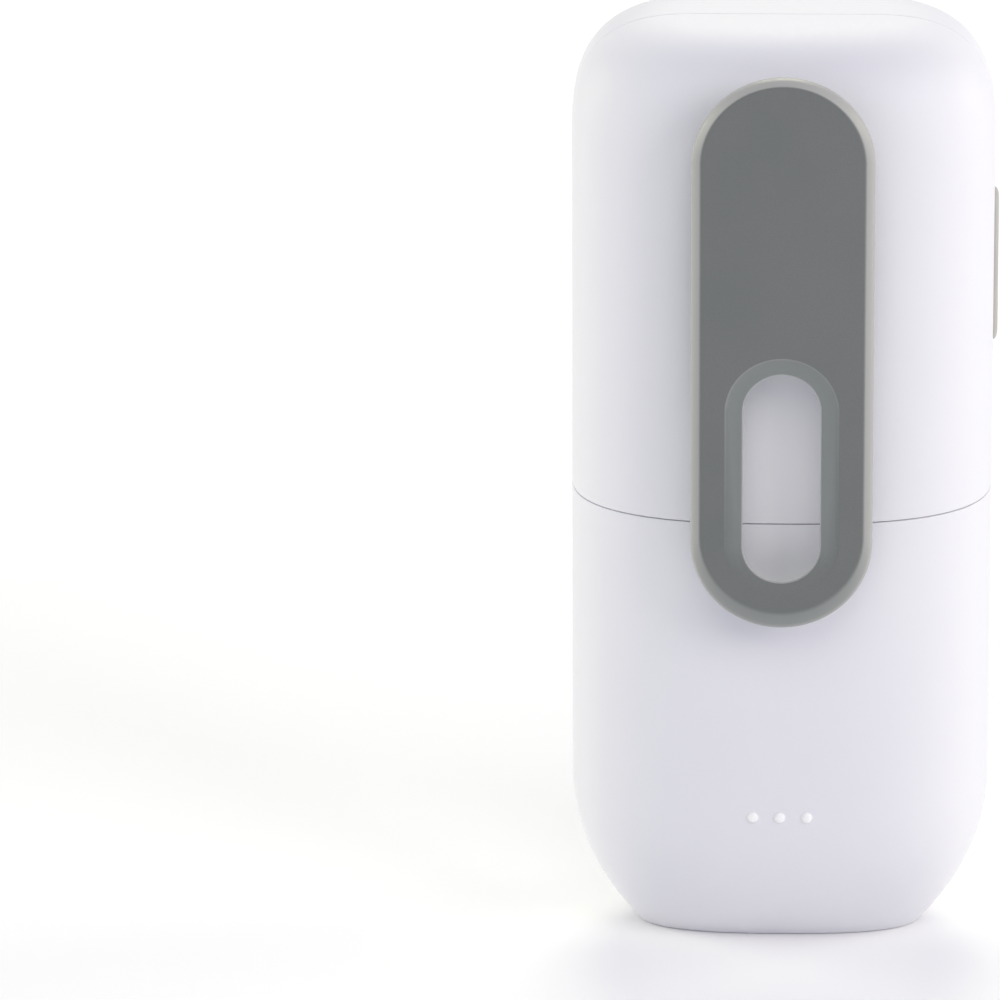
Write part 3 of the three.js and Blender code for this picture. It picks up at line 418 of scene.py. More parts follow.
class Wall:
    """Half of the housing's hollow wall, as rows (up and over) and columns (round the face).

    side is 1 for the grille half and -1 for the clip half. In here y grows outwards on either side."""

    def __init__(self, side, low=None, high=None):
        self.side = side
        self.parting = side * PARTING_Y + GAP / 2 - PARTING_SHUT
        self.has_base, self.has_top = low is None, high is None
        self.low = RIM_Z + BASE_CORNER if low is None else low
        self.high = TOP_Z - TOP_CORNER if high is None else high
        self.shape = Shape()
        self.open_cells = set()
        self.make_columns()
        self.make_rows()

    def first_angle(self, half_depth, along):
        return np.arcsin(np.clip(gather((self.parting + along) / half_depth), -1, 1))

    def make_columns(self):
        """Columns lie an even distance apart, and close together where they round the parting edge."""
        first = self.first_angle(HALF_DEPTH, EDGE)
        fine_steps = 4000
        self.shares = np.linspace(0, 1, fine_steps + 1)
        turn = first + (np.pi - 2 * first) * self.shares
        x, y = HALF_WIDTH * spread(np.cos(turn)), HALF_DEPTH * spread(np.sin(turn))
        self.runs = np.concatenate([[0], np.cumsum(np.hypot(np.diff(x), np.diff(y)))])
        count = round(self.runs[-1] / GRID)
        even = np.interp(np.linspace(0, self.runs[-1], count + 1)[1:-1], self.runs, self.shares)
        edge = rounding(EDGE)
        columns = [(along, depth, 0.0) for along, depth in reversed(edge)]
        columns += [(EDGE, 0.0, share) for share in even]
        columns += [(along, depth, 1.0) for along, depth in edge]
        self.along, self.depth, self.share = np.array(columns).T
        self.run = np.interp(self.share, self.shares, self.runs)

    def row_places(self, z0, depth, pull):
        """The places of one row.

        The form drawn in by an inset is also lower at its top and higher at its base."""
        inset = np.maximum(self.depth, depth)
        share = np.interp(z0, [self.low, self.high], [0, 1])
        z = z0 + inset * (self.has_base * (1 - share) - self.has_top * share)
        width, deep = half_sizes(z, inset)
        first = self.first_angle(deep, self.along)
        turn = first + (np.pi - 2 * first) * self.share
        x, y = width * spread(np.cos(turn)), deep * spread(np.sin(turn))
        if pull:
            target, share = pull
            end = abs(x[self.depth == 0][0])
            x = x + (np.clip(x, -end, end) - x) * share
            y = np.minimum(y, y + (self.parting + target - y) * share)
        return x, y, z

    def side_levels(self):
        """Heights of the rows on the upright part of the wall."""
        levels = []
        if self.has_base:
            slope = 1.3  # length of the tucked wall over its height
            count = round(slope * BASE_CORNER / GRID)
            levels += list(np.linspace(RIM_Z + RIM_EDGE, self.low, count))[:-1]
        bottom = self.low if self.has_base else self.low + SEAM_EDGE
        top = self.high if self.has_top else self.high - SEAM_EDGE
        levels += list(np.linspace(bottom, top, round((top - bottom) / GRID)))
        if self.has_top:
            steps = 30
            for i in range(1, steps + 1):
                levels.append(self.high + TOP_CORNER * math.sin(math.pi / 2 * i / steps) ** (2 / TOP_POWER))
        return levels

    def cap_rows(self, z0, depth, edge):
        """Rows across a flat end, from its outline to the parting line, each with its pull towards that."""
        shares = (0.2, 0.4, 0.6, 0.8, 1.0)
        rows = [(z0, depth, (edge, share)) for share in shares]
        if edge:
            for along, inset in rounding(edge)[1:]:
                rows.append((z0, max(depth, inset), (along, 1.0)))
        return rows

    def make_rows(self):
        """The rows, in one closed loop: up the outside and down the inside."""
        levels = self.side_levels()
        rows = []
        if self.has_base:
            hidden = self.cap_rows(RIM_Z - RIM_EDGE, RIM_EDGE, 0.0)
            rows += [(*row, "") for row in reversed(hidden)]
            for left, depth in reversed(rounding(RIM_EDGE)[1:]):
                rows.append((RIM_Z + left - depth, depth, None, ""))
        rows += [(z, 0.0, None, "outer") for z in levels]
        if self.has_top:
            rows += [(*row, "cap") for row in self.cap_rows(TOP_Z, 0.0, EDGE)]
            rows += [(*row, "") for row in reversed(self.cap_rows(TOP_Z, WALL, 0.0))]
        else:
            end = self.high
            for left, depth in rounding(SEAM_EDGE)[1:]:
                rows.append((end - left, depth, None, ""))
            lip = LIP_DEPTH + LIP_PLAY
            top = end + LIP_HEIGHT - LIP_PLAY
            rows += [(end, lip, None, ""), (top, lip, None, ""), (top, WALL, None, "")]
        rows += [(z, WALL, None, "inner") for z in reversed(levels)]
        if self.has_base:
            rows += [(*row, "") for row in self.cap_rows(RIM_Z, WALL, 0.0)]
        else:
            start = self.low
            top = start + LIP_HEIGHT
            rows = [row for row in rows if row[3] != "inner" or row[0] > top + LIP_PLAY]
            rows += [(top, WALL, None, ""), (top, LIP_DEPTH, None, ""), (start, LIP_DEPTH, None, "")]
            for left, depth in reversed(rounding(SEAM_EDGE)[1:]):
                rows.append((start + left, depth, None, ""))
        self.rows = rows
        self.ids, self.heights = [], []
        for z0, depth, pull, kind in rows:
            x, y, z = self.row_places(z0, depth, pull)
            z = np.broadcast_to(z, x.shape)
            exact = kind in ("outer", "cap") and depth == 0
            ids = []
            for i in range(len(x)):
                normal = None
                if exact and self.depth[i] == 0:
                    normal = (0, 0, 1) if kind == "cap" else form_normal(x[i], y[i], z[i])
                ids.append(self.put(x[i], y[i], z[i], normal))
            self.ids.append(ids)
            self.heights.append(z)

    def put(self, x, y, z, normal=None):
        """Adds a point, turned to the half's own side."""
        if normal is not None:
            normal = (normal[0], normal[1] * self.side, normal[2])
        return self.shape.add((x, y * self.side, z), normal)

    def locate(self, face, u, z, inset):
        """The point of the form at u and z, and its place along the run of columns."""
        width, deep = half_sizes(z, inset)
        first = self.first_angle(deep, EDGE)
        if face == "front":
            turn = math.acos(gather(u / width))
            x, y = u, deep * spread(math.sin(turn))
        else:
            turn = math.asin(gather(u / deep))
            x, y = width * spread(math.cos(turn)), u
            if face == "-x":
                turn, x = math.pi - turn, -x
        share = (turn - first) / (math.pi - 2 * first)
        return x, y, float(np.interp(share, self.shares, self.runs))

    def hole_point(self, hole, du, dz, kind, value):
        u, z = hole.u + du, hole.z + dz
        x, y, run = self.locate(hole.face, u, z, WALL if kind == "inner" else 0.0)
        exact = kind == "drop" and value == 0
        normal = form_normal(x, y, z) if exact else None
        if hole.face == "front":
            y = value if kind == "at" else y - value
        else:
            sense = 1 if hole.face == "+x" else -1
            x = sense * value if kind == "at" else x - sense * value
        return self.put(x, y, z, normal), (run / MM, z / MM)

    def hole_ring(self, hole, radius, kind, value):
        ends = outline(hole.a, hole.b, radius, hole.steps)
        return [self.hole_point(hole, du, dz, kind, value) for du, dz in ends]

    def pierce(self, holes):
        """Cuts holes in the wall, which all lie in one block of the grid."""
        outer, inner = [], []
        for hole in holes:
            rings = [self.hole_ring(hole, *ring) for ring in hole.rings]
            if hole.inner is not None:
                last = self.hole_ring(hole, hole.inner, "inner", 0.0)
                inner.append(last)
                if hole.outside:
                    rings.append(last)
                else:
                    rings.insert(0, last)
            if hole.outside:
                outer.append(rings[0])
            ids = [[name for name, _ in ring] for ring in rings]
            self.shape.strips(ids)
            if hole.tip:
                self.shape.fan(ids[-1], self.hole_point(hole, 0, 0, *hole.tip)[0])
        for kind, rings in (("outer", outer), ("inner", inner)):
            if rings:
                self.refill(kind, rings)

    def refill(self, kind, outlines):
        """Replaces the grid's cells round the outlines by triangles that leave the outlines' insides open."""
        margin, clear = 1.2 * GRID / MM, 0.5 * GRID / MM
        border_columns = 3
        corners = np.array([place for ring in outlines for _, place in ring])
        low, high = corners.min(0) - margin, corners.max(0) + margin
        rows = [
            r for r, row in enumerate(self.rows)
            if row[3] == kind and low[1] < self.heights[r][len(self.run) // 2] / MM < high[1]
        ]
        rows = range(min(rows) - 1, max(rows) + 2)
        inside = np.flatnonzero((self.run / MM > low[0]) & (self.run / MM < high[0]))
        last = len(self.run) - border_columns
        columns = range(max(inside.min() - 1, border_columns), min(inside.max() + 2, last))
        self.open_cells |= {(r, c) for r in rows[:-1] for c in columns[:-1]}
        places = []
        for r in rows:
            for c in columns:
                place = np.array((self.run[c] / MM, self.heights[r][c] / MM))
                border = r in (rows[0], rows[-1]) or c in (columns[0], columns[-1])
                if border or not near_outline(place, outlines, clear):
                    places.append((self.ids[r][c], tuple(place)))
        self.shape.faces += triangulate(places, outlines)

    def close(self):
        """Adds the grid's own faces and the flat faces on the parting plane."""
        count = len(self.ids)
        for r, ids in enumerate(self.ids):
            after = self.ids[(r + 1) % count]
            for c in range(len(ids) - 1):
                if (r, c) not in self.open_cells:
                    self.shape.faces.append((ids[c], ids[c + 1], after[c + 1], after[c]))
        self.shape.faces.append([ids[0] for ids in self.ids])
        self.shape.faces.append([ids[-1] for ids in reversed(self.ids)])
        return self.shape


def near_outline(place, outlines, distance):
    """Whether a flat place lies inside one of these convex outlines or close to its points."""
    for ring in outlines:
        points = np.array([p for _, p in ring])
        offset = points - place
        if (np.hypot(*offset.T) < distance).any():
            return True
        after = np.roll(offset, -1, axis=0)
        turns = offset[:, 0] * after[:, 1] - offset[:, 1] * after[:, 0]
        if (turns > 0).all() or (turns < 0).all():
            return True
    return False


# ---------------------------------------------------------------- camera, floor and light

TARGET = Vector((0, 0, 60 * MM))
ELEVATION = math.radians(20)
DISTANCE = 1.399
LENS = 375.9
SENSOR = 36
TURN_ASIDE = math.radians(1.544)  # the object stands right of the picture's centre
NOD = math.radians(-0.019)
ROLL = math.radians(0.32)


def make_camera():
    data = bpy.data.cameras.new("main_camera")
    data.lens = LENS
    data.sensor_width = SENSOR
    data.clip_end = 200
    camera = bpy.data.objects.new("main_camera", data)
    bpy.context.scene.collection.objects.link(camera)
    back = Vector((0, -math.cos(ELEVATION), math.sin(ELEVATION)))
    camera.location = TARGET + DISTANCE * back
    aim = (-back).to_track_quat("-Z", "Y")
    for axis, angle in (((0, 1, 0), TURN_ASIDE), ((1, 0, 0), NOD), ((0, 0, 1), ROLL)):
        aim = aim @ Quaternion(axis, angle)
    camera.rotation_mode = "QUATERNION"
    camera.rotation_quaternion = aim
    bpy.context.scene.camera = camera


def area_light(name, place, size, power, colour):
    data = bpy.data.lights.new(name, "AREA")
    data.shape = "DISK"
    data.size = size
    data.energy = power
    data.color = colour
    light = bpy.data.objects.new(name, data)
    light.location = place
    light.rotation_euler = (TARGET - Vector(place)).to_track_quat("-Z", "Y").to_euler()
    light.visible_camera = False
    bpy.context.scene.collection.objects.link(light)


def make_light():
    scene = bpy.context.scene
    scene.view_settings.view_transform = "Standard"
    world = bpy.data.worlds.new("studio_air")
    world.use_nodes = True
    air = world.node_tree.nodes["Background"]
    air.inputs["Color"].default_value = (0.34, 0.355, 0.485, 1)  # a bluish fill
    air.inputs["Strength"].default_value = 1.0
    scene.world = world
    warm = (1, 0.98, 0.76)
    area_light("above_front", (0, -1.2, 1.4), size=1.2, power=7.9, colour=warm)
    area_light("above_back", (0, 1.3, 1.2), size=1.0, power=12.2, colour=warm)
    area_light("key_right", (1.3, -1.0, 0.9), size=0.9, power=9.2, colour=(1, 0.92, 0.92))
    area_light("side_right", (1.75, 0.4, 0.5), size=0.9, power=11.0, colour=warm)
    area_light("side_left", (-1.75, 0.4, 0.5), size=0.9, power=14.8, colour=warm)


# ---------------------------------------------------------------- materials


class Finish:
    """Builds one procedural material, node by node, on object coordinates."""

    def __init__(self, name):
        self.material = bpy.data.materials.new(name)
        self.material.use_nodes = True
        self.nodes = self.material.node_tree.nodes
        self.links = self.material.node_tree.links
        self.shader = self.nodes["Principled BSDF"]
        self.coordinates = self.node("ShaderNodeTexCoord").outputs["Object"]

    def node(self, kind, **settings):
        made = self.nodes.new(kind)
        for key, value in settings.items():
            setattr(made, key, value)
        return made

    def noise(self, size, detail=2.0, stretch=(1, 1, 1)):
        """Noise whose features are about size across."""
        mapping = self.node("ShaderNodeMapping")
        mapping.inputs["Scale"].default_value = stretch
        texture = self.node("ShaderNodeTexNoise")
        texture.inputs["Scale"].default_value = 1 / size
        texture.inputs["Detail"].default_value = detail
        self.links.new(self.coordinates, mapping.inputs["Vector"])
        self.links.new(mapping.outputs["Vector"], texture.inputs["Vector"])
        return texture.outputs["Fac"]

    def ramp(self, value, low, high, first, last):
        """Colours first to last as the value goes from low to high."""
        made = self.node("ShaderNodeValToRGB")
        for element, place, colour in zip(made.color_ramp.elements, (low, high), (first, last)):
            element.position = place
            element.color = (*colour, 1)
        self.links.new(value, made.inputs["Fac"])
        return made.outputs["Color"]

    def remap(self, value, low, high, first, last):
        made = self.node("ShaderNodeMapRange")
        for name, number in zip(("From Min", "From Max", "To Min", "To Max"), (low, high, first, last)):
            made.inputs[name].default_value = number
        self.links.new(value, made.inputs["Value"])
        return made.outputs["Result"]

    def blended(self, factor, first, second):
        made = self.node("ShaderNodeMix", data_type="RGBA")
        for value, socket in ((factor, made.inputs[0]), (first, made.inputs[6]), (second, made.inputs[7])):
            if isinstance(value, tuple):
                socket.default_value = (*value, 1)
            else:
                self.links.new(value, socket)
        return made.outputs[2]

    def bump(self, height, strength, distance, under=None):
        made = self.node("ShaderNodeBump")
        made.inputs["Strength"].default_value = strength
        made.inputs["Distance"].default_value = distance
        self.links.new(height, made.inputs["Height"])
        if under:
            self.links.new(under, made.inputs["Normal"])
        return made.outputs["Normal"]

    def feed(self, socket, value):
        self.links.new(value, self.shader.inputs[socket])

    def set(self, **values):
        for key, value in values.items():
            self.shader.inputs[key.replace("_", " ")].default_value = value


def tinted(colour, share):
    """A colour made lighter, or darker for a share below 0."""
    return tuple(min(1.0, max(0.0, c + (share * (1 - c) if share > 0 else share * c))) for c in colour)


def surface(name, colour, rough, vary=0.02, rough_vary=0.05, patch=12 * MM, grain=0.25 * MM, relief=0.02,
            edge_wear_and_highlight=0.06, stretch=(1, 1, 1), metallic=0.0, coat=0.0, sheen=0.0):
    """A solid finish: patchy colour, fine grain in relief, uneven roughness and paler edges, partly wear and
    partly painted highlight.
    """
    finish = Finish(name)
    patches = finish.noise(patch, 3.0)
    fine = finish.noise(grain, 2.0, stretch)
    base = finish.ramp(patches, 0.3, 0.7, tinted(colour, -vary), tinted(colour, vary))
    speckled = finish.blended(finish.remap(fine, 0.35, 0.65, 0.0, 0.5), base, tinted(colour, -2 * vary))
    corners = finish.node("ShaderNodeNewGeometry").outputs["Pointiness"]
    # paler convex edges found by pointiness: partly wear, partly a painted highlight
    edge_wear_and_highlight_mask = finish.remap(corners, 0.53, 0.62, 0.0, 1.0)
    finish.feed("Base Color", finish.blended(edge_wear_and_highlight_mask, speckled, tinted(colour, edge_wear_and_highlight)))
    finish.feed("Roughness", finish.remap(finish.noise(3 * grain, 2.0, stretch), 0.3, 0.7,
                                          rough - rough_vary, rough + rough_vary))
    finish.feed("Normal", finish.bump(fine, relief, 0.1 * MM))
    finish.set(Metallic=metallic, Coat_Weight=coat, Sheen_Weight=sheen)
    return finish.material


def make_finishes():
    white = (0.80, 0.80, 0.835)
    dark = (0.03, 0.03, 0.033)
    zinc = (0.56, 0.57, 0.58)
    nickel = (0.70, 0.68, 0.63)
    across = (0.15, 1, 1)
    FINISHES.update({
        "shell_white": surface("shell_white", white, 0.55, vary=0.008, edge_wear_and_highlight=0.05, relief=0.03),
        # a paler copy of the shell white for the thumb dots: a painted highlight
        "dot_white_painted_highlight": surface("dot_white_painted_highlight", (0.97, 0.97, 0.96), 0.4, vary=0.01, relief=0.03),
        "foot_rubber": surface("foot_rubber", (0.76, 0.76, 0.79), 0.7, grain=0.4 * MM, relief=0.06),
        "clip_grey": clip_finish(),
        "button_warm_grey": surface("button_warm_grey", (0.45, 0.435, 0.41), 0.5, relief=0.04),
        "dark_steel": surface("dark_steel", (0.16, 0.16, 0.17), 0.4, grain=0.12 * MM, metallic=1, edge_wear_and_highlight=0.2),
        "steel": surface("steel", zinc, 0.32, grain=0.12 * MM, stretch=across, metallic=1, edge_wear_and_highlight=0.25),
        "nickel": surface("nickel", nickel, 0.24, patch=4 * MM, grain=0.1 * MM, metallic=1, edge_wear_and_highlight=0.2),
        "copper": surface("copper", (0.72, 0.42, 0.24), 0.3, patch=5 * MM, metallic=1, vary=0.08),
        "black_plastic": surface("black_plastic", dark, 0.5, vary=0.2, relief=0.05, edge_wear_and_highlight=0.03),
        "cell_wrap": surface("cell_wrap", (0.06, 0.13, 0.28), 0.25, vary=0.1, coat=0.5, relief=0.01),
        "circuit_board": surface("circuit_board", (0.02, 0.16, 0.07), 0.3, vary=0.25, patch=2 * MM,
                                 coat=0.4, edge_wear_and_highlight=0.3),
        "foam": surface("foam", dark, 0.95, vary=0.3, grain=0.3 * MM, relief=0.5, edge_wear_and_highlight=0.02),
        "cone_paper": surface("cone_paper", (0.02, 0.02, 0.022), 0.85, vary=0.3, relief=0.3, sheen=0.2),
        "red_lead": surface("red_lead", (0.35, 0.02, 0.02), 0.45, relief=0.03),
        "clear_window": clear_finish(),
    })


def clip_finish():
    """Fine satin grey, with painted light: paler where the surface dips below the flat face, and palest, as a
    painted highlight, where it turns away.
    """
    finish = Finish("clip_grey")
    patches = finish.noise(14 * MM, 3.0)
    fine = finish.noise(0.22 * MM, 2.0)
    face = finish.ramp(patches, 0.3, 0.7, (0.149, 0.163, 0.158), (0.163, 0.170, 0.166))
    speckled = finish.blended(finish.remap(fine, 0.35, 0.65, 0.0, 0.35), face, (0.12, 0.13, 0.126))
    place = finish.node("ShaderNodeSeparateXYZ")
    finish.links.new(finish.coordinates, place.inputs["Vector"])
    # painted light: the dish below the flat face is drawn paler by its depth
    dish_painted_light = finish.remap(place.outputs["Y"], CLIP_FACE + 0.03 * MM, CLIP_FACE + 0.25 * MM, 0.0, 1.0)
    face_with_dish_light = finish.blended(dish_painted_light, speckled, (0.20, 0.22, 0.213))
    geometry = finish.node("ShaderNodeNewGeometry")
    split = finish.node("ShaderNodeSeparateXYZ")
    finish.links.new(geometry.outputs["Normal"], split.inputs["Vector"])
    facing = finish.node("ShaderNodeMath", operation="ABSOLUTE")
    finish.links.new(split.outputs["Y"], facing.inputs[0])
    # painted highlight: where the normal turns away from Y, on the bevel, the grey is drawn much paler
    border = finish.remap(facing.outputs["Value"], 0.97, 0.7, 0.0, 1.0)
    finish.feed("Base Color", finish.blended(border, face_with_dish_light, (0.40, 0.40, 0.385)))
    finish.feed("Roughness", finish.remap(finish.noise(0.8 * MM), 0.3, 0.7, 0.4, 0.5))
    finish.feed("Normal", finish.bump(fine, 0.05, 0.1 * MM))
    return finish.material


def clear_finish():
    """Milky clear plastic with faint smears."""
    finish = Finish("clear_window")
    smears = finish.noise(0.6 * MM, 2.0)
    finish.feed("Roughness", finish.remap(smears, 0.3, 0.7, 0.02, 0.09))
    finish.feed("Base Color", finish.ramp(smears, 0.3, 0.7, (0.88, 0.92, 0.95), (0.94, 0.96, 0.98)))
    finish.feed("Normal", finish.bump(smears, 0.02, 0.1 * MM))
    finish.set(Transmission_Weight=0.35, IOR=1.49)
    return finish.material


# ---------------------------------------------------------------- the housing's pieces

MOUTH_EDGE = 0.12 * MM

GRILLE_PITCH_X = 2.76 * MM
GRILLE_PITCH_Z = 2.91 * MM
GRILLE_REACH = 4  # rows and columns each side of the centre
GRILLE_Z = 95.1 * MM
GRILLE_OPEN = 10  # largest squared distance, in pitches, of an open hole from the middle
GRILLE_FLARE = 0.3 * MM  # the open holes widen inwards
DIMPLE_DEEP = 1.3 * MM
LENS_HOLE_RADIUS = 0.95 * MM
WELL_X = 12.15 * MM
WELL_Z = 21.2 * MM
TRAY_SCREW = (20 * MM, 57 * MM)
TOP_SCREW_Z = 116 * MM
SCREW_HOLE = 1.2 * MM
ROCKER_Y = 3 * MM
ROCKER_Z = 92.4 * MM
ROCKER_STRAIGHT = 8.15 * MM


def grille_radius(distance_squared):
    """Hole radius by squared distance from the middle, in pitches. The holes shrink outwards in steps."""
    for limit, radius in ((4, 1.0), (13, 0.88), (20, 0.68)):
        if distance_squared <= limit:
            return radius * MM
    return 0.5 * MM


def grille_holes():
    """Open holes in the middle, blind dimples round them, and the lens hole in the lowest row."""
    steps = range(-GRILLE_REACH, GRILLE_REACH + 1)
    holes = []
    for i in steps:
        for j in steps:
            corner = abs(i) == GRILLE_REACH and abs(j) == GRILLE_REACH
            lens = i == 0 and j == -GRILLE_REACH
            if corner or lens:
                continue
            radius = grille_radius(i * i + j * j)
            rings = mouth(radius, MOUTH_EDGE)
            place = (i * GRILLE_PITCH_X, GRILLE_Z + j * GRILLE_PITCH_Z)
            if i * i + j * j <= GRILLE_OPEN:
                holes.append(Hole("front", *place, rings, steps=5, inner=radius + GRILLE_FLARE))
            else:
                rings.append((radius, "drop", DIMPLE_DEEP))
                holes.append(Hole("front", *place, rings, steps=5, tip=("drop", DIMPLE_DEEP)))
    lens_z = GRILLE_Z - GRILLE_REACH * GRILLE_PITCH_Z
    lens_mouth = mouth(LENS_HOLE_RADIUS, MOUTH_EDGE, 3)
    holes.append(Hole("front", 0, lens_z, lens_mouth, steps=6, inner=LENS_HOLE_RADIUS))
    return holes


def boss(x, z, radius, end):
    """A blind screw boss on the inside of the wall."""
    deep = 5 * MM
    rings = [(radius, "at", end), (SCREW_HOLE, "at", end), (SCREW_HOLE, "at", end + deep)]
    return Hole("front", x, z, rings, inner=radius, tip=("at", end + deep), outside=False)


def well(x, z, radius, floor, boss_radius, boss_end, steps):
    """A round well with a screw hole in its floor, and its boss inside."""
    rings = mouth(radius, MOUTH_EDGE, 3)
    rings += [(radius, "at", floor), (SCREW_HOLE, "at", floor)]
    rings += [(SCREW_HOLE, "at", boss_end), (boss_radius, "at", boss_end)]
    return Hole("front", x, z, rings, steps=steps, inner=boss_radius)


def window(face, along, z, a, b, radius):
    """A rounded opening, with straight halves a and b."""
    return Hole(face, along, z, mouth(radius, MOUTH_EDGE, 3), a=a, b=b, steps=8, inner=radius)


def make_front_shell():
    wall = Wall(1)
    wall.pierce(grille_holes())
    well_radius, well_floor, well_boss, well_end = 2.87 * MM, 7.4 * MM, 3.97 * MM, 3.9 * MM
    tray_boss, tray_end = 2.6 * MM, -2.4 * MM
    for side in (-1, 1):
        wall.pierce([well(side * WELL_X, WELL_Z, well_radius, well_floor, well_boss, well_end, 10)])
        wall.pierce([boss(side * TRAY_SCREW[0], TRAY_SCREW[1], tray_boss, tray_end)])
    slot_x, slot_z, slot_straight, slot_radius = 1.035 * MM, 27.6 * MM, 0.6 * MM, 0.65 * MM
    wall.pierce([window("front", side * slot_x, slot_z, 0, slot_straight, slot_radius) for side in (-1, 1)])
    board_boss, board_end = 2.3 * MM, 5.5 * MM
    for x, z in ((-16 * MM, 108.5 * MM), (13 * MM, 70 * MM)):
        wall.pierce([boss(x, z, board_boss, board_end)])
    top_boss, top_end = 2.6 * MM, -1 * MM
    wall.pierce([boss(0, TOP_SCREW_Z, top_boss, top_end)])
    wall.pierce([window("+x", ROCKER_Y, ROCKER_Z, 0, ROCKER_STRAIGHT, 2.8 * MM)])
    side_y, switch_z, socket_z = 3 * MM, 30.5 * MM, 19.5 * MM
    wall.pierce([window("-x", side_y, switch_z, 0.9 * MM, 2.7 * MM, 0.6 * MM)])
    wall.pierce([window("-x", side_y, socket_z, 0, 2.7 * MM, 1.8 * MM)])
    wall.close().finish("front_shell_skin", "shell_white", "front_shell", crease=50)


def make_rear_shell():
    wall = Wall(-1, low=SEAM_Z + GAP / 2 - SEAM_SHUT)
    radius, floor, boss_radius, boss_end = 2.4 * MM, 13.7 * MM, 3.2 * MM, 1.6 * MM
    wall.pierce([well(0, TOP_SCREW_Z, radius, floor, boss_radius, boss_end, 8)])
    wall.close().finish("rear_shell_skin", "shell_white", "rear_shell", crease=50)


def make_battery_cover():
    """The cover, with the tongue that reaches up behind the rear shell."""
    wall = Wall(-1, high=SEAM_Z - GAP / 2 + SEAM_SHUT)
    wall.close().finish("battery_cover_skin", "shell_white", "battery_cover", "cover", 50)
    face, bottom, edge = WALL - HALF_DEPTH, SEAM_Z - 5 * MM, 0.2 * MM
    half = 6 * MM
    for name, near, far, top in (
        ("cover_tongue", 0.5 * MM, 1.7 * MM, SEAM_Z + 3 * MM),
        ("cover_tongue_root", -0.4 * MM, 0.6 * MM, SEAM_Z - 2 * MM),
    ):
        tongue = slab((-half, face + near, bottom), (half, face + far, top), edge)
        tongue.finish(name, "shell_white", body="cover")


def make_dots():
    """The raised thumb dots: low domes on the cover's wall, in the shell's plastic drawn paler as a painted
    highlight.
    """
    radius, proud, sunk, pitch = 0.76 * MM, 0.5 * MM, 0.6 * MM, 3.6 * MM
    z, steps = 21.4 * MM, 8
    width, deep = half_sizes(z, 0.0)
    for column, name in ((-1, "left"), (0, "middle"), (1, "right")):
        x = column * pitch
        wall = -deep * spread(math.sin(math.acos(gather(x / width))))
        profile = [(0, wall + sunk), (radius, wall + sunk)]
        for i in range(steps):
            turn = math.pi / 2 * i / steps
            profile.append((radius * math.cos(turn), wall - proud * math.sin(turn)))
        profile.append((0, wall - proud))
        dome = turned(profile, "Y", (x, z), 32)
        dome.finish("thumb_dot_" + name, "shell_white", body="cover", look="dot_white_painted_highlight")


def make_feet():
    """The thin foot, in two halves either side of the parting plane."""
    sunk, edge, steps = 0.2 * MM, 0.05 * MM, 72
    for name, body, side in (("foot_front", "housing", 1), ("foot_rear", "cover", -1)):
        low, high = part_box(name)
        near = low.y if side > 0 else high.y
        start = math.asin(near / foot_high.y)
        turns = np.linspace(start, side * math.pi - start, steps)
        points = [(foot_high.x * math.cos(t), foot_high.y * math.sin(t)) for t in turns]
        pad = prism(Shape(), points, low.z, RIM_Z + sunk, "Z", edge)
        pad.finish(name + "_pad", "foot_rubber", name, body)


# ---------------------------------------------------------------- the clip

CLIP_RADIUS = clip_high.x - 0.2 * MM
CLIP_MIDDLE = (clip_low.z + clip_high.z) / 2 - 0.3 * MM
CLIP_STRAIGHT = (clip_high.z - clip_low.z) / 2 - CLIP_RADIUS - 0.1 * MM
CLIP_FACE = clip_low.y
CLIP_BACK = CLIP_FACE + 2.4 * MM
SLOT_RADIUS = 5.1 * MM
SLOT_MIDDLE = 71.8 * MM
SLOT_STRAIGHT = 9.3 * MM
HINGE = (-21 * MM, 108 * MM)  # y and z of the clip's pin
KNUCKLE_RADIUS = 1.8 * MM
LUG_RADIUS = 2 * MM
PIN_RADIUS = 0.9 * MM


def pill_ring(shape, middle, straight, radius, depth_at, normal=None, steps=20):
    """A ring of a pill outline on the clip; depth_at gives its y from the height."""
    ends = outline(0, straight, radius, steps)
    return shape.ring([(u, depth_at(middle + v), middle + v) for u, v in ends], normal)


def flat_at(y):
    return lambda z: y


def clip_rim(shape):
    """The plate's outside, from the face round to the back. The lower bevel is the widest."""
    out, back = CLIP_FACE, CLIP_BACK
    bevel, bevel_deep, edge = 1.25 * MM, 1.1 * MM, 0.45 * MM
    lift, shorten = 0.95 * MM, 0.38 * MM  # the face stands high on the plate
    rim = [(CLIP_RADIUS - 1.5 * bevel, out), (CLIP_RADIUS - bevel, out), (CLIP_RADIUS, out + bevel_deep),
           (CLIP_RADIUS, back), (CLIP_RADIUS - bevel, back)]
    rows = []
    for radius, y in soften(rim, edge):
        flat = (0, -1, 0) if y == out else (0, 1, 0) if y == back else None
        share = min(1, (CLIP_RADIUS - radius) / bevel) if y < out + bevel_deep else 0
        middle, straight = CLIP_MIDDLE + lift * share, CLIP_STRAIGHT - shorten * share
        rows.append(pill_ring(shape, middle, straight, radius, flat_at(y), flat))
    shape.strips(rows)
    return rows


def dish_depth(share):
    """The dish is deepest along the slot's sides and top, and runs out at the slot's lower end."""
    deep, run_out, least = 0.45 * MM, 12 * MM, 0.1
    slot_low = SLOT_MIDDLE - SLOT_STRAIGHT - SLOT_RADIUS

    def depth(z):
        full = np.clip((z - slot_low) / run_out, 0, 1)
        full = least + (1 - least) * full * full * (3 - 2 * full)
        return CLIP_FACE + deep * share * full
    return depth


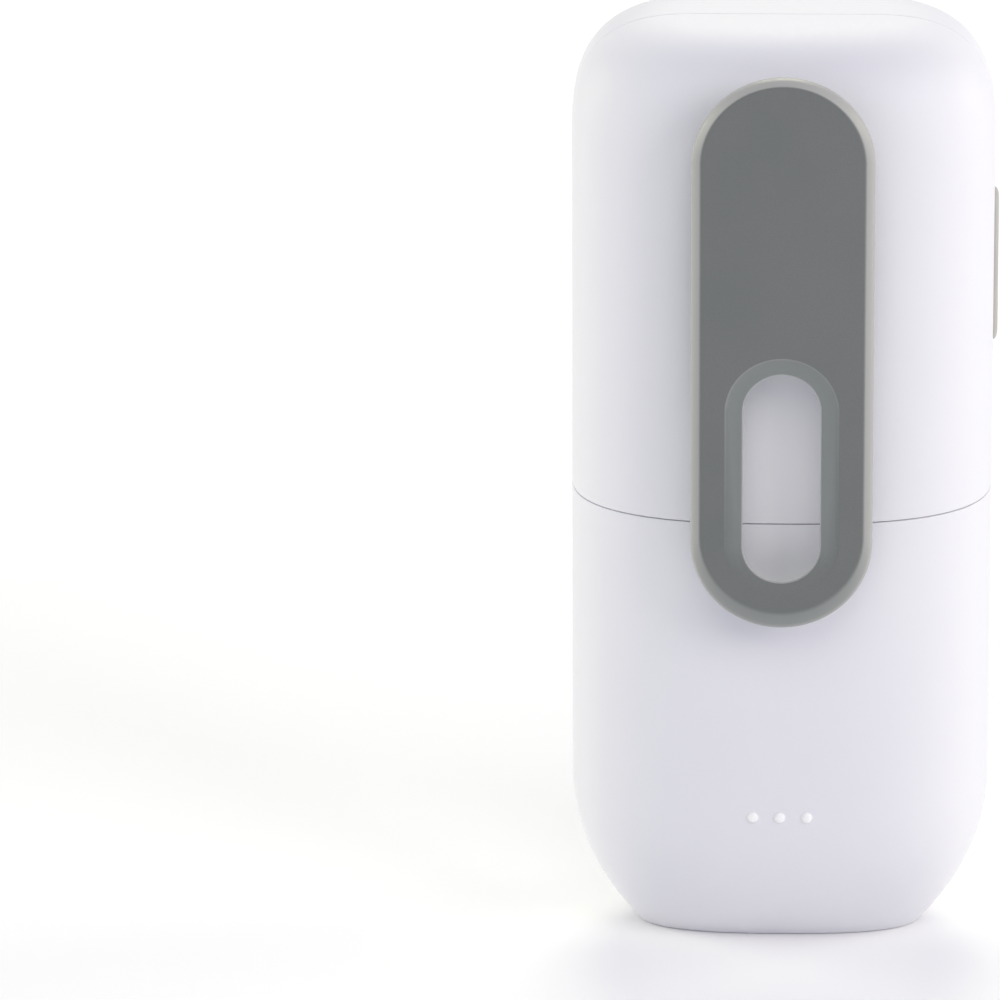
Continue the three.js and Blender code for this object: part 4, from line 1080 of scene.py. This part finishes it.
def clip_slot(shape):
    """The dish and the slot in it. The slot's lower end slopes down towards the back."""
    reach, edge, undercut = 2.5 * MM, 0.25 * MM, 0.45 * MM
    bend = [(1, 0), (0.97, 0.06), (0.9, 0.3), (0.8, 0.5), (0.4, 0.9), (0.2, 0.98), (0.06, 1)]
    rows = []
    for out, share in bend:
        normal = (0, -1, 0) if share == 0 else None
        radius = SLOT_RADIUS + edge + (reach - edge) * out
        rows.append(pill_ring(shape, SLOT_MIDDLE, SLOT_STRAIGHT, radius, dish_depth(share), normal))
    floor = dish_depth(1)
    for left, deep in rounding(edge):
        rows.append(pill_ring(shape, SLOT_MIDDLE, SLOT_STRAIGHT, SLOT_RADIUS + left,
                              lambda z, deep=deep: floor(z) + deep))
    middle, straight = SLOT_MIDDLE - undercut, SLOT_STRAIGHT + undercut
    for left, deep in reversed(rounding(edge)):
        normal = (0, 1, 0) if deep == 0 else None
        rows.append(pill_ring(shape, middle, straight, SLOT_RADIUS + left, flat_at(CLIP_BACK - deep), normal))
    shape.strips(rows)
    return rows


def clip_plate():
    shape = Shape()
    outer, inner = clip_rim(shape), clip_slot(shape)
    shape.fill_flat(outer[0], inner[0])
    shape.fill_flat(outer[-1], inner[-1])
    return shape


def eye(x0, x1, reach, radius, bore):
    """A D-shaped hinge leaf along X round the pin. Its flat side lies at reach from the pin in Y."""
    shape = Shape()
    sense, reach = math.copysign(1, reach), abs(reach)
    bevel, steps = 0.15 * MM, 48
    turns = [2 * math.pi * (i + 0.5) / steps for i in range(steps)]

    def outer_length(turn):
        forward, aside = math.cos(turn), abs(math.sin(turn))
        return min(radius / max(aside, 1e-6), reach / forward) if forward > 0 else radius

    def ring(x, outer, less):
        points = []
        for turn in turns:
            length = outer_length(turn) - less if outer else bore + less
            y, z = sense * length * math.cos(turn), length * math.sin(turn)
            points.append((x, HINGE[0] + y, HINGE[1] + z))
        return shape.ring(points)

    levels = [(x0, bevel), (x0 + bevel, 0), (x1 - bevel, 0), (x1, bevel)]
    rows = [ring(x, True, less) for x, less in levels]
    rows += [ring(x, False, less) for x, less in reversed(levels)]
    shape.strips(rows + rows[:1])
    return shape


def make_clip():
    """The plate with its knuckle, the two lugs on the rear shell, the pin and the spring."""
    clip_plate().finish("clip_plate", "clip_grey", "belt_clip", "clip", 30)
    bore = PIN_RADIUS + GAP / 2
    to_plate, to_shell = -2.5 * MM, 2.9 * MM
    knuckle = eye(-3 * MM, 5.9 * MM, to_plate, KNUCKLE_RADIUS, bore)
    knuckle.finish("clip_knuckle", "clip_grey", body="clip")
    lug_near, lug_far = 6.2 * MM, 8.2 * MM
    for side, name in ((-1, "clip_lug_left"), (1, "clip_lug_right")):
        ends = sorted((side * lug_near, side * lug_far))
        eye(*ends, to_shell, LUG_RADIUS, bore).finish(name, "shell_white")
    reach = 8.8 * MM
    profile = [(0, -reach), (PIN_RADIUS, -reach), (PIN_RADIUS, reach), (0, reach)]
    turned(profile, "X", HINGE, 32, 0.2 * MM).finish("hinge_pin", "steel", "clip_pin")
    make_clip_spring()


def make_clip_spring():
    """A torsion coil round the pin. One leg stands up behind the clip, the other lies along the knuckle."""
    coil, wire, turns, per_turn = 1.4 * MM, 0.22 * MM, 3.5, 24
    x0, x1 = -5.6 * MM, -3.6 * MM
    leg_up, leg_back = 6 * MM, 1 * MM
    points = [(x0, HINGE[0] + coil, HINGE[1] + leg_up)]
    count = int(turns * per_turn)
    for i in range(count + 1):
        turn = 2 * math.pi * i / per_turn
        x = x0 + (x1 - x0) * i / count
        points.append((x, HINGE[0] + coil * math.cos(turn), HINGE[1] - coil * math.sin(turn)))
    points.append((x1, HINGE[0] - coil, HINGE[1] + leg_back))
    tube(points, wire).finish("clip_coil", "steel", "clip_spring")


# ---------------------------------------------------------------- the side's controls


def make_rocker():
    """The volume bar: a flange behind the window, and a rounded bar through it."""
    shape = Shape()
    face = rocker_high.x - 0.12 * MM
    across, round_over, crown, crown_edge = 2.5 * MM, 1.1 * MM, 0.7 * MM, 0.2 * MM
    flange, flange_back, flange_front, neck = 3 * MM, 23.6 * MM, 24.6 * MM, 26 * MM
    profile = [(flange, flange_back), (flange, flange_front), (across, flange_front), (across, neck)]
    profile = soften(profile, 0.2 * MM)
    steps = 8
    for i in range(steps + 1):
        turn = math.pi / 2 * i / steps
        profile.append((across - round_over * (1 - math.cos(turn)), face - crown * (1 - math.sin(turn))))
    profile.append((crown_edge, face))
    rows = []
    for radius, x in profile:
        ends = outline(0, ROCKER_STRAIGHT, radius, 10)
        rows.append(shape.ring([(x, ROCKER_Y + u, ROCKER_Z + v) for u, v in ends]))
    shape.strips(rows)
    shape.faces += [rows[0][::-1], rows[-1]]
    shape.finish("rocker_bar", "button_warm_grey", "volume_rocker", "rocker", 50)


def make_knob():
    """The small switch, kept just under the flank's outermost line."""
    low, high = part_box("power_switch_knob")
    flush = low.x + 0.45 * MM
    rib_proud, rib_half, rib_root, rib_inset = 0.25 * MM, 0.2 * MM, 0.6 * MM, 0.1 * MM
    half, middle = (high.z - low.z) / 2, (high.z + low.z) / 2
    cap = slab((flush + rib_proud, low.y, low.z), high, 0.15 * MM)
    cap.finish("switch_cap", "button_warm_grey", "power_switch_knob", "power_knob")
    for step, name in ((-1, "low"), (0, "middle"), (1, "high")):
        z = middle + step * 0.65 * half
        start = (flush, low.y + rib_inset, z - rib_half)
        rib = slab(start, (flush + rib_root, high.y - rib_inset, z + rib_half), 0.08 * MM)
        rib.finish("switch_rib_" + name, "button_warm_grey", body="power_knob")


def make_socket():
    """The small oval charging socket: a drawn metal shell with a tongue in it."""
    low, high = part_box("usb_socket")
    y, z = (low.y + high.y) / 2, (low.z + high.z) / 2
    radius, sheet = (high.y - low.y) / 2, 0.3 * MM
    straight = (high.z - low.z) / 2 - radius
    floor = high.x - 0.5 * MM
    lip, back_edge, rolled = 0.1 * MM, 0.2 * MM, 0.05 * MM
    shape = Shape()
    rows = []
    for less, x in ((back_edge, high.x), (0, high.x - back_edge), (0, low.x + lip), (lip, low.x),
                    (sheet - rolled, low.x), (sheet, low.x + lip), (sheet, floor)):
        ends = outline(0, straight, radius - less, 8)
        rows.append(shape.ring([(x, y + u, z + v) for u, v in ends]))
    shape.strips(rows)
    shape.faces += [rows[0][::-1], rows[-1]]
    shape.finish("socket_shell", "nickel", "usb_socket", crease=50)
    half, thick, recess = 2.4 * MM, 0.3 * MM, 0.8 * MM
    tongue = slab((low.x + recess, y - thick, z - half), (floor + lip, y + thick, z + half), 0.1 * MM)
    tongue.finish("socket_tongue", "black_plastic")


# ---------------------------------------------------------------- speaker and lens, seen through the grille


def make_speaker():
    centre, sides = (0, GRILLE_Z), 64
    low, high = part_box("speaker_frame")
    radius, front, back = high.z - GRILLE_Z, high.y, low.y
    sheet, flange, hub = 0.6 * MM, 1.2 * MM, 2.6 * MM
    basket = [(radius, front), (8.7 * MM, front), (8.4 * MM, front - 1 * MM), (5.2 * MM, back + sheet),
              (hub, back + sheet), (hub, back), (5.8 * MM, back), (8.9 * MM, front - flange),
              (radius, front - flange), (radius, front)]
    turned(basket, "Y", centre, sides, 0.15 * MM).finish("speaker_basket", "steel", "speaker_frame")

    # dust cap, cone, rolled surround, and the cone's back, in mm from the frame's front
    cone = [(0, -0.3), (0.9, -0.42), (1.6, -0.7), (2.4, -1.5), (2.7, -1.6), (6.6, -0.4), (6.9, -0.15),
            (7.4, -0.05), (7.8, -0.2), (8.1, -0.5), (8.1, -0.8), (7.7, -0.5), (7.4, -0.4), (7.0, -0.5),
            (6.6, -0.8), (2.4, -2.1)]
    cone = [(r * MM, front + y * MM) for r, y in cone]
    throat, cone_back = hub - GAP, back + 0.2 * MM
    cone += [(throat, front - 2.2 * MM), (throat, cone_back), (0, cone_back)]
    turned(cone, "Y", centre, sides).finish("paper_cone", "cone_paper", "speaker_cone")

    low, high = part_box("speaker_magnet")
    radius = high.z - GRILLE_Z
    pot = [(0, high.y), (radius, high.y), (radius, low.y), (0, low.y)]
    turned(pot, "Y", centre, sides, 0.4 * MM).finish("magnet_pot", "steel", "speaker_magnet")

    low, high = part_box("speaker_gasket")
    radius, band = high.z - GRILLE_Z, 1.2 * MM
    bore, middle = radius - band, (low.y + high.y) / 2
    ring = [(bore, middle), (bore, high.y), (radius, high.y), (radius, low.y), (bore, low.y), (bore, middle)]
    turned(ring, "Y", centre, sides, 0.3 * MM).finish("foam_ring", "foam", "speaker_gasket")


def make_lens():
    edge = 0.12 * MM
    low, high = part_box("lens_window")
    centre = (0, (low.z + high.z) / 2)
    radius = high.z - centre[1]
    dome = [(0, high.y), (0.5 * radius, high.y - 0.05 * MM), (radius, high.y - 0.4 * MM), (radius, low.y),
            (0, low.y)]
    turned(dome, "Y", centre, 32, edge).finish("pinhole_window", "clear_window", "lens_window")
    low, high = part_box("lens_barrel")
    wide, slim, bore = high.z - centre[1], 1.3 * MM, 0.6 * MM
    step, floor = low.y + 2.1 * MM, high.y - 1 * MM
    barrel = [(0, low.y), (wide, low.y), (wide, step), (slim, step), (slim, high.y), (bore, high.y),
              (bore, floor), (0, floor)]
    turned(barrel, "Y", centre, 40, edge).finish("pinhole_barrel", "black_plastic", "lens_barrel")


# ---------------------------------------------------------------- screws, cells and wires


def screw_profile(head, top, tip, sense):
    """The pan head, softened, then the thread as a saw line down to the tip."""
    tall, shank, core, turns = 1.5 * MM, 0.9 * MM, 0.78, 9
    neck = top + sense * tall
    profile = [(0.62 * head, top), (head, top + sense * 0.6 * MM), (head, neck), (shank, neck)]
    profile = soften(profile, 0.25 * MM)
    start, end = top + sense * (tall + 0.4 * MM), tip - sense * 0.9 * MM
    for i in range(2 * turns + 1):
        radius = shank if i % 2 else core * shank
        profile.append((radius, start + (end - start) * i / (2 * turns)))
    return profile + [(0.15 * MM, tip)]


def cross_screw(node, sense):
    """A pan-head screw along Y with a cross recess. sense is 1 where the tip points to +Y."""
    low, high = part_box(node)
    x, z = (low.x + high.x) / 2, (low.z + high.z) / 2
    top, tip = (low.y, high.y) if sense > 0 else (high.y, low.y)
    shape = Shape()
    sides = 40
    turns = [2 * math.pi * (i + 0.5) / sides for i in range(sides)]
    rows = []
    for radius, along in screw_profile((high.x - low.x) / 2, top, tip, sense):
        rows.append(shape.ring([(x + radius * math.cos(t), along, z + radius * math.sin(t)) for t in turns]))
    shape.strips(rows)
    shape.faces.append(rows[-1])
    reach, half, deep = 0.9 * MM, 0.22 * MM, 0.7 * MM
    arms = [(half, half), (half, reach), (-half, reach), (-half, half), (-reach, half), (-reach, -half),
            (-half, -half), (-half, -reach), (half, -reach), (half, -half), (reach, -half), (reach, half)]
    recess = [shape.ring([(x + u, top + sense * down, z + v) for u, v in arms]) for down in (0, deep)]
    shape.strips(recess)
    shape.faces.append(recess[-1])
    shape.fill_flat(rows[0], recess[0])
    shape.finish(node + "_turned", "steel", node, crease=35, look="dark_steel")


def make_screws():
    for place in ("well_left", "well_right"):
        cross_screw("screw_" + place, -1)
    for place in ("tray_left", "tray_right", "board_upper", "board_lower", "top"):
        cross_screw("screw_" + place, 1)


def make_cell(index, up):
    """One cell: a wrapped can and its bare cap with the nub."""
    low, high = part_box(f"cell_{index}")
    centre = ((low.x + high.x) / 2, (low.y + high.y) / 2)
    radius, nub, nub_high, wrap, rim = (high.x - low.x) / 2, 1.9 * MM, 0.9 * MM, 0.1 * MM, 1 * MM
    flat_end, nub_end, sense = (low.z, high.z, 1) if up else (high.z, low.z, -1)
    bare = radius - 0.8 * MM
    shoulder = nub_end - sense * nub_high
    sunk = shoulder - sense * 2 * wrap
    recess = flat_end + sense * wrap
    can = [(0, recess), (bare, recess), (bare, flat_end), (radius, flat_end), (radius, shoulder),
           (radius - rim, shoulder), (radius - rim, sunk), (0, sunk)]
    turned(can, "Z", centre, 64, 0.25 * MM).finish(f"cell_can_{index}", "cell_wrap", f"cell_{index}")
    wide, low, high = radius - rim - 0.05 * MM, shoulder - sense * 3 * wrap, shoulder - sense * wrap
    cap = [(0, low), (wide, low), (wide, high), (nub, high), (nub - wrap, nub_end), (0, nub_end)]
    turned(cap, "Z", centre, 48, 0.15 * MM).finish(f"cell_cap_{index}", "nickel")
    return centre


def make_cell_contacts(index, up, centre):
    """The flat contact at a cell's nub and the tapering coil at its other end."""
    low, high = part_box(f"cell_contact_{index}")
    plate = slab(low, high, 0.08 * MM, 0.6 * MM)
    plate.finish(f"contact_plate_{index}", "nickel", f"cell_contact_{index}")
    low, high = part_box(f"cell_spring_{index}")
    wire, turns, per_turn, wide, slim = 0.22 * MM, 3, 24, 3.6 * MM, 2.0 * MM
    start, end = (low.z + wire, high.z - wire) if up else (high.z - wire, low.z + wire)
    points = []
    for i in range(turns * per_turn + 1):
        share = i / (turns * per_turn)
        turn, reach = 2 * math.pi * turns * share, wide + (slim - wide) * share
        points.append((centre[0] + reach * math.cos(turn), centre[1] + reach * math.sin(turn),
                       start + (end - start) * share))
    tube(points, wire, 8).finish(f"contact_coil_{index}", "nickel", f"cell_spring_{index}")


def make_cells():
    """Three cells, alternately up and down."""
    for index in (1, 2, 3):
        up = index != 2
        make_cell_contacts(index, up, make_cell(index, up))


def curve(points, steps=8):
    """A smooth line through points given in mm."""
    line = [Vector(p) * MM for p in points]
    line = [2 * line[0] - line[1]] + line + [2 * line[-1] - line[-2]]
    made = []
    for a, b, c, d in zip(line, line[1:], line[2:], line[3:]):
        for i in range(steps):
            s = i / steps
            made.append(0.5 * (2 * b + (c - a) * s + (2 * a - 5 * b + 4 * c - d) * s**2
                               + (3 * b - a - 3 * c + d) * s**3))
    return made + [line[-2]]


def make_leads():
    """Sleeved wires from the speaker and the cells to the board. Their turning points are in mm."""
    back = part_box("speaker_frame")[0].y / MM
    up = GRILLE_Z / MM
    for index, side, colour in ((1, -1, "red_lead"), (2, 1, "black_plastic")):
        speaker = [(side * 7.2, back - 0.4, up + 4), (side * 8.2, 8.6, up + 6.5), (side * 8.6, 7, up + 9),
                   (side * 8.6, 5.9, up + 11.5)]
        tube(curve(speaker), 0.4 * MM).finish(f"speaker_wire_{index}", colour, f"speaker_lead_{index}")
        battery = [(side * 5, -0.6, 40), (side * 5.2, 0.4, 50), (side * 4.4, 1.4, 60), (side * 3.6, 2.6, 66),
                   (side * 3.2, 3.2, 70)]
        tube(curve(battery), 0.5 * MM).finish(f"battery_wire_{index}", colour, f"battery_lead_{index}")


# ---------------------------------------------------------------- everything


def soften_carried_nodes():
    """Every node of the frame gets its finish, and those that stay in view get softened edges."""
    for entry in frame["record"]["subparts"]:
        node = frame["nodes"][entry["node"]]
        node.data.materials.clear()
        node.data.materials.append(FINISHES[entry["material_slot"]])
        if node.hide_render:
            continue
        weld = node.modifiers.new("joined_corners", "WELD")
        weld.merge_threshold = 0.001 * MM
        bevel = node.modifiers.new("soft_edges", "BEVEL")
        bevel.width = 0.08 * MM
        bevel.segments = 2
        bevel.limit_method = "ANGLE"
        bevel.angle_limit = math.radians(40)


def make_floor():
    half = 20.0
    mesh = bpy.data.meshes.new("floor")
    corners = [(-half, -half, 0), (half, -half, 0), (half, half, 0), (-half, half, 0)]
    mesh.from_pydata(corners, [], [(0, 1, 2, 3)])
    floor = bpy.data.objects.new("floor", mesh)
    bpy.context.scene.collection.objects.link(floor)
    mesh.materials.append(surface("floor_paper", (0.97, 0.97, 0.97), 0.8, vary=0.004, patch=0.3, edge_wear_and_highlight=0.0))


def make_everything():
    make_camera()
    make_light()
    make_finishes()
    make_floor()
    make_front_shell()
    make_rear_shell()
    make_battery_cover()
    make_dots()
    make_feet()
    make_clip()
    make_rocker()
    make_knob()
    make_speaker()
    make_lens()
    make_screws()
    make_cells()
    make_leads()
    make_socket()
    soften_carried_nodes()


make_everything()
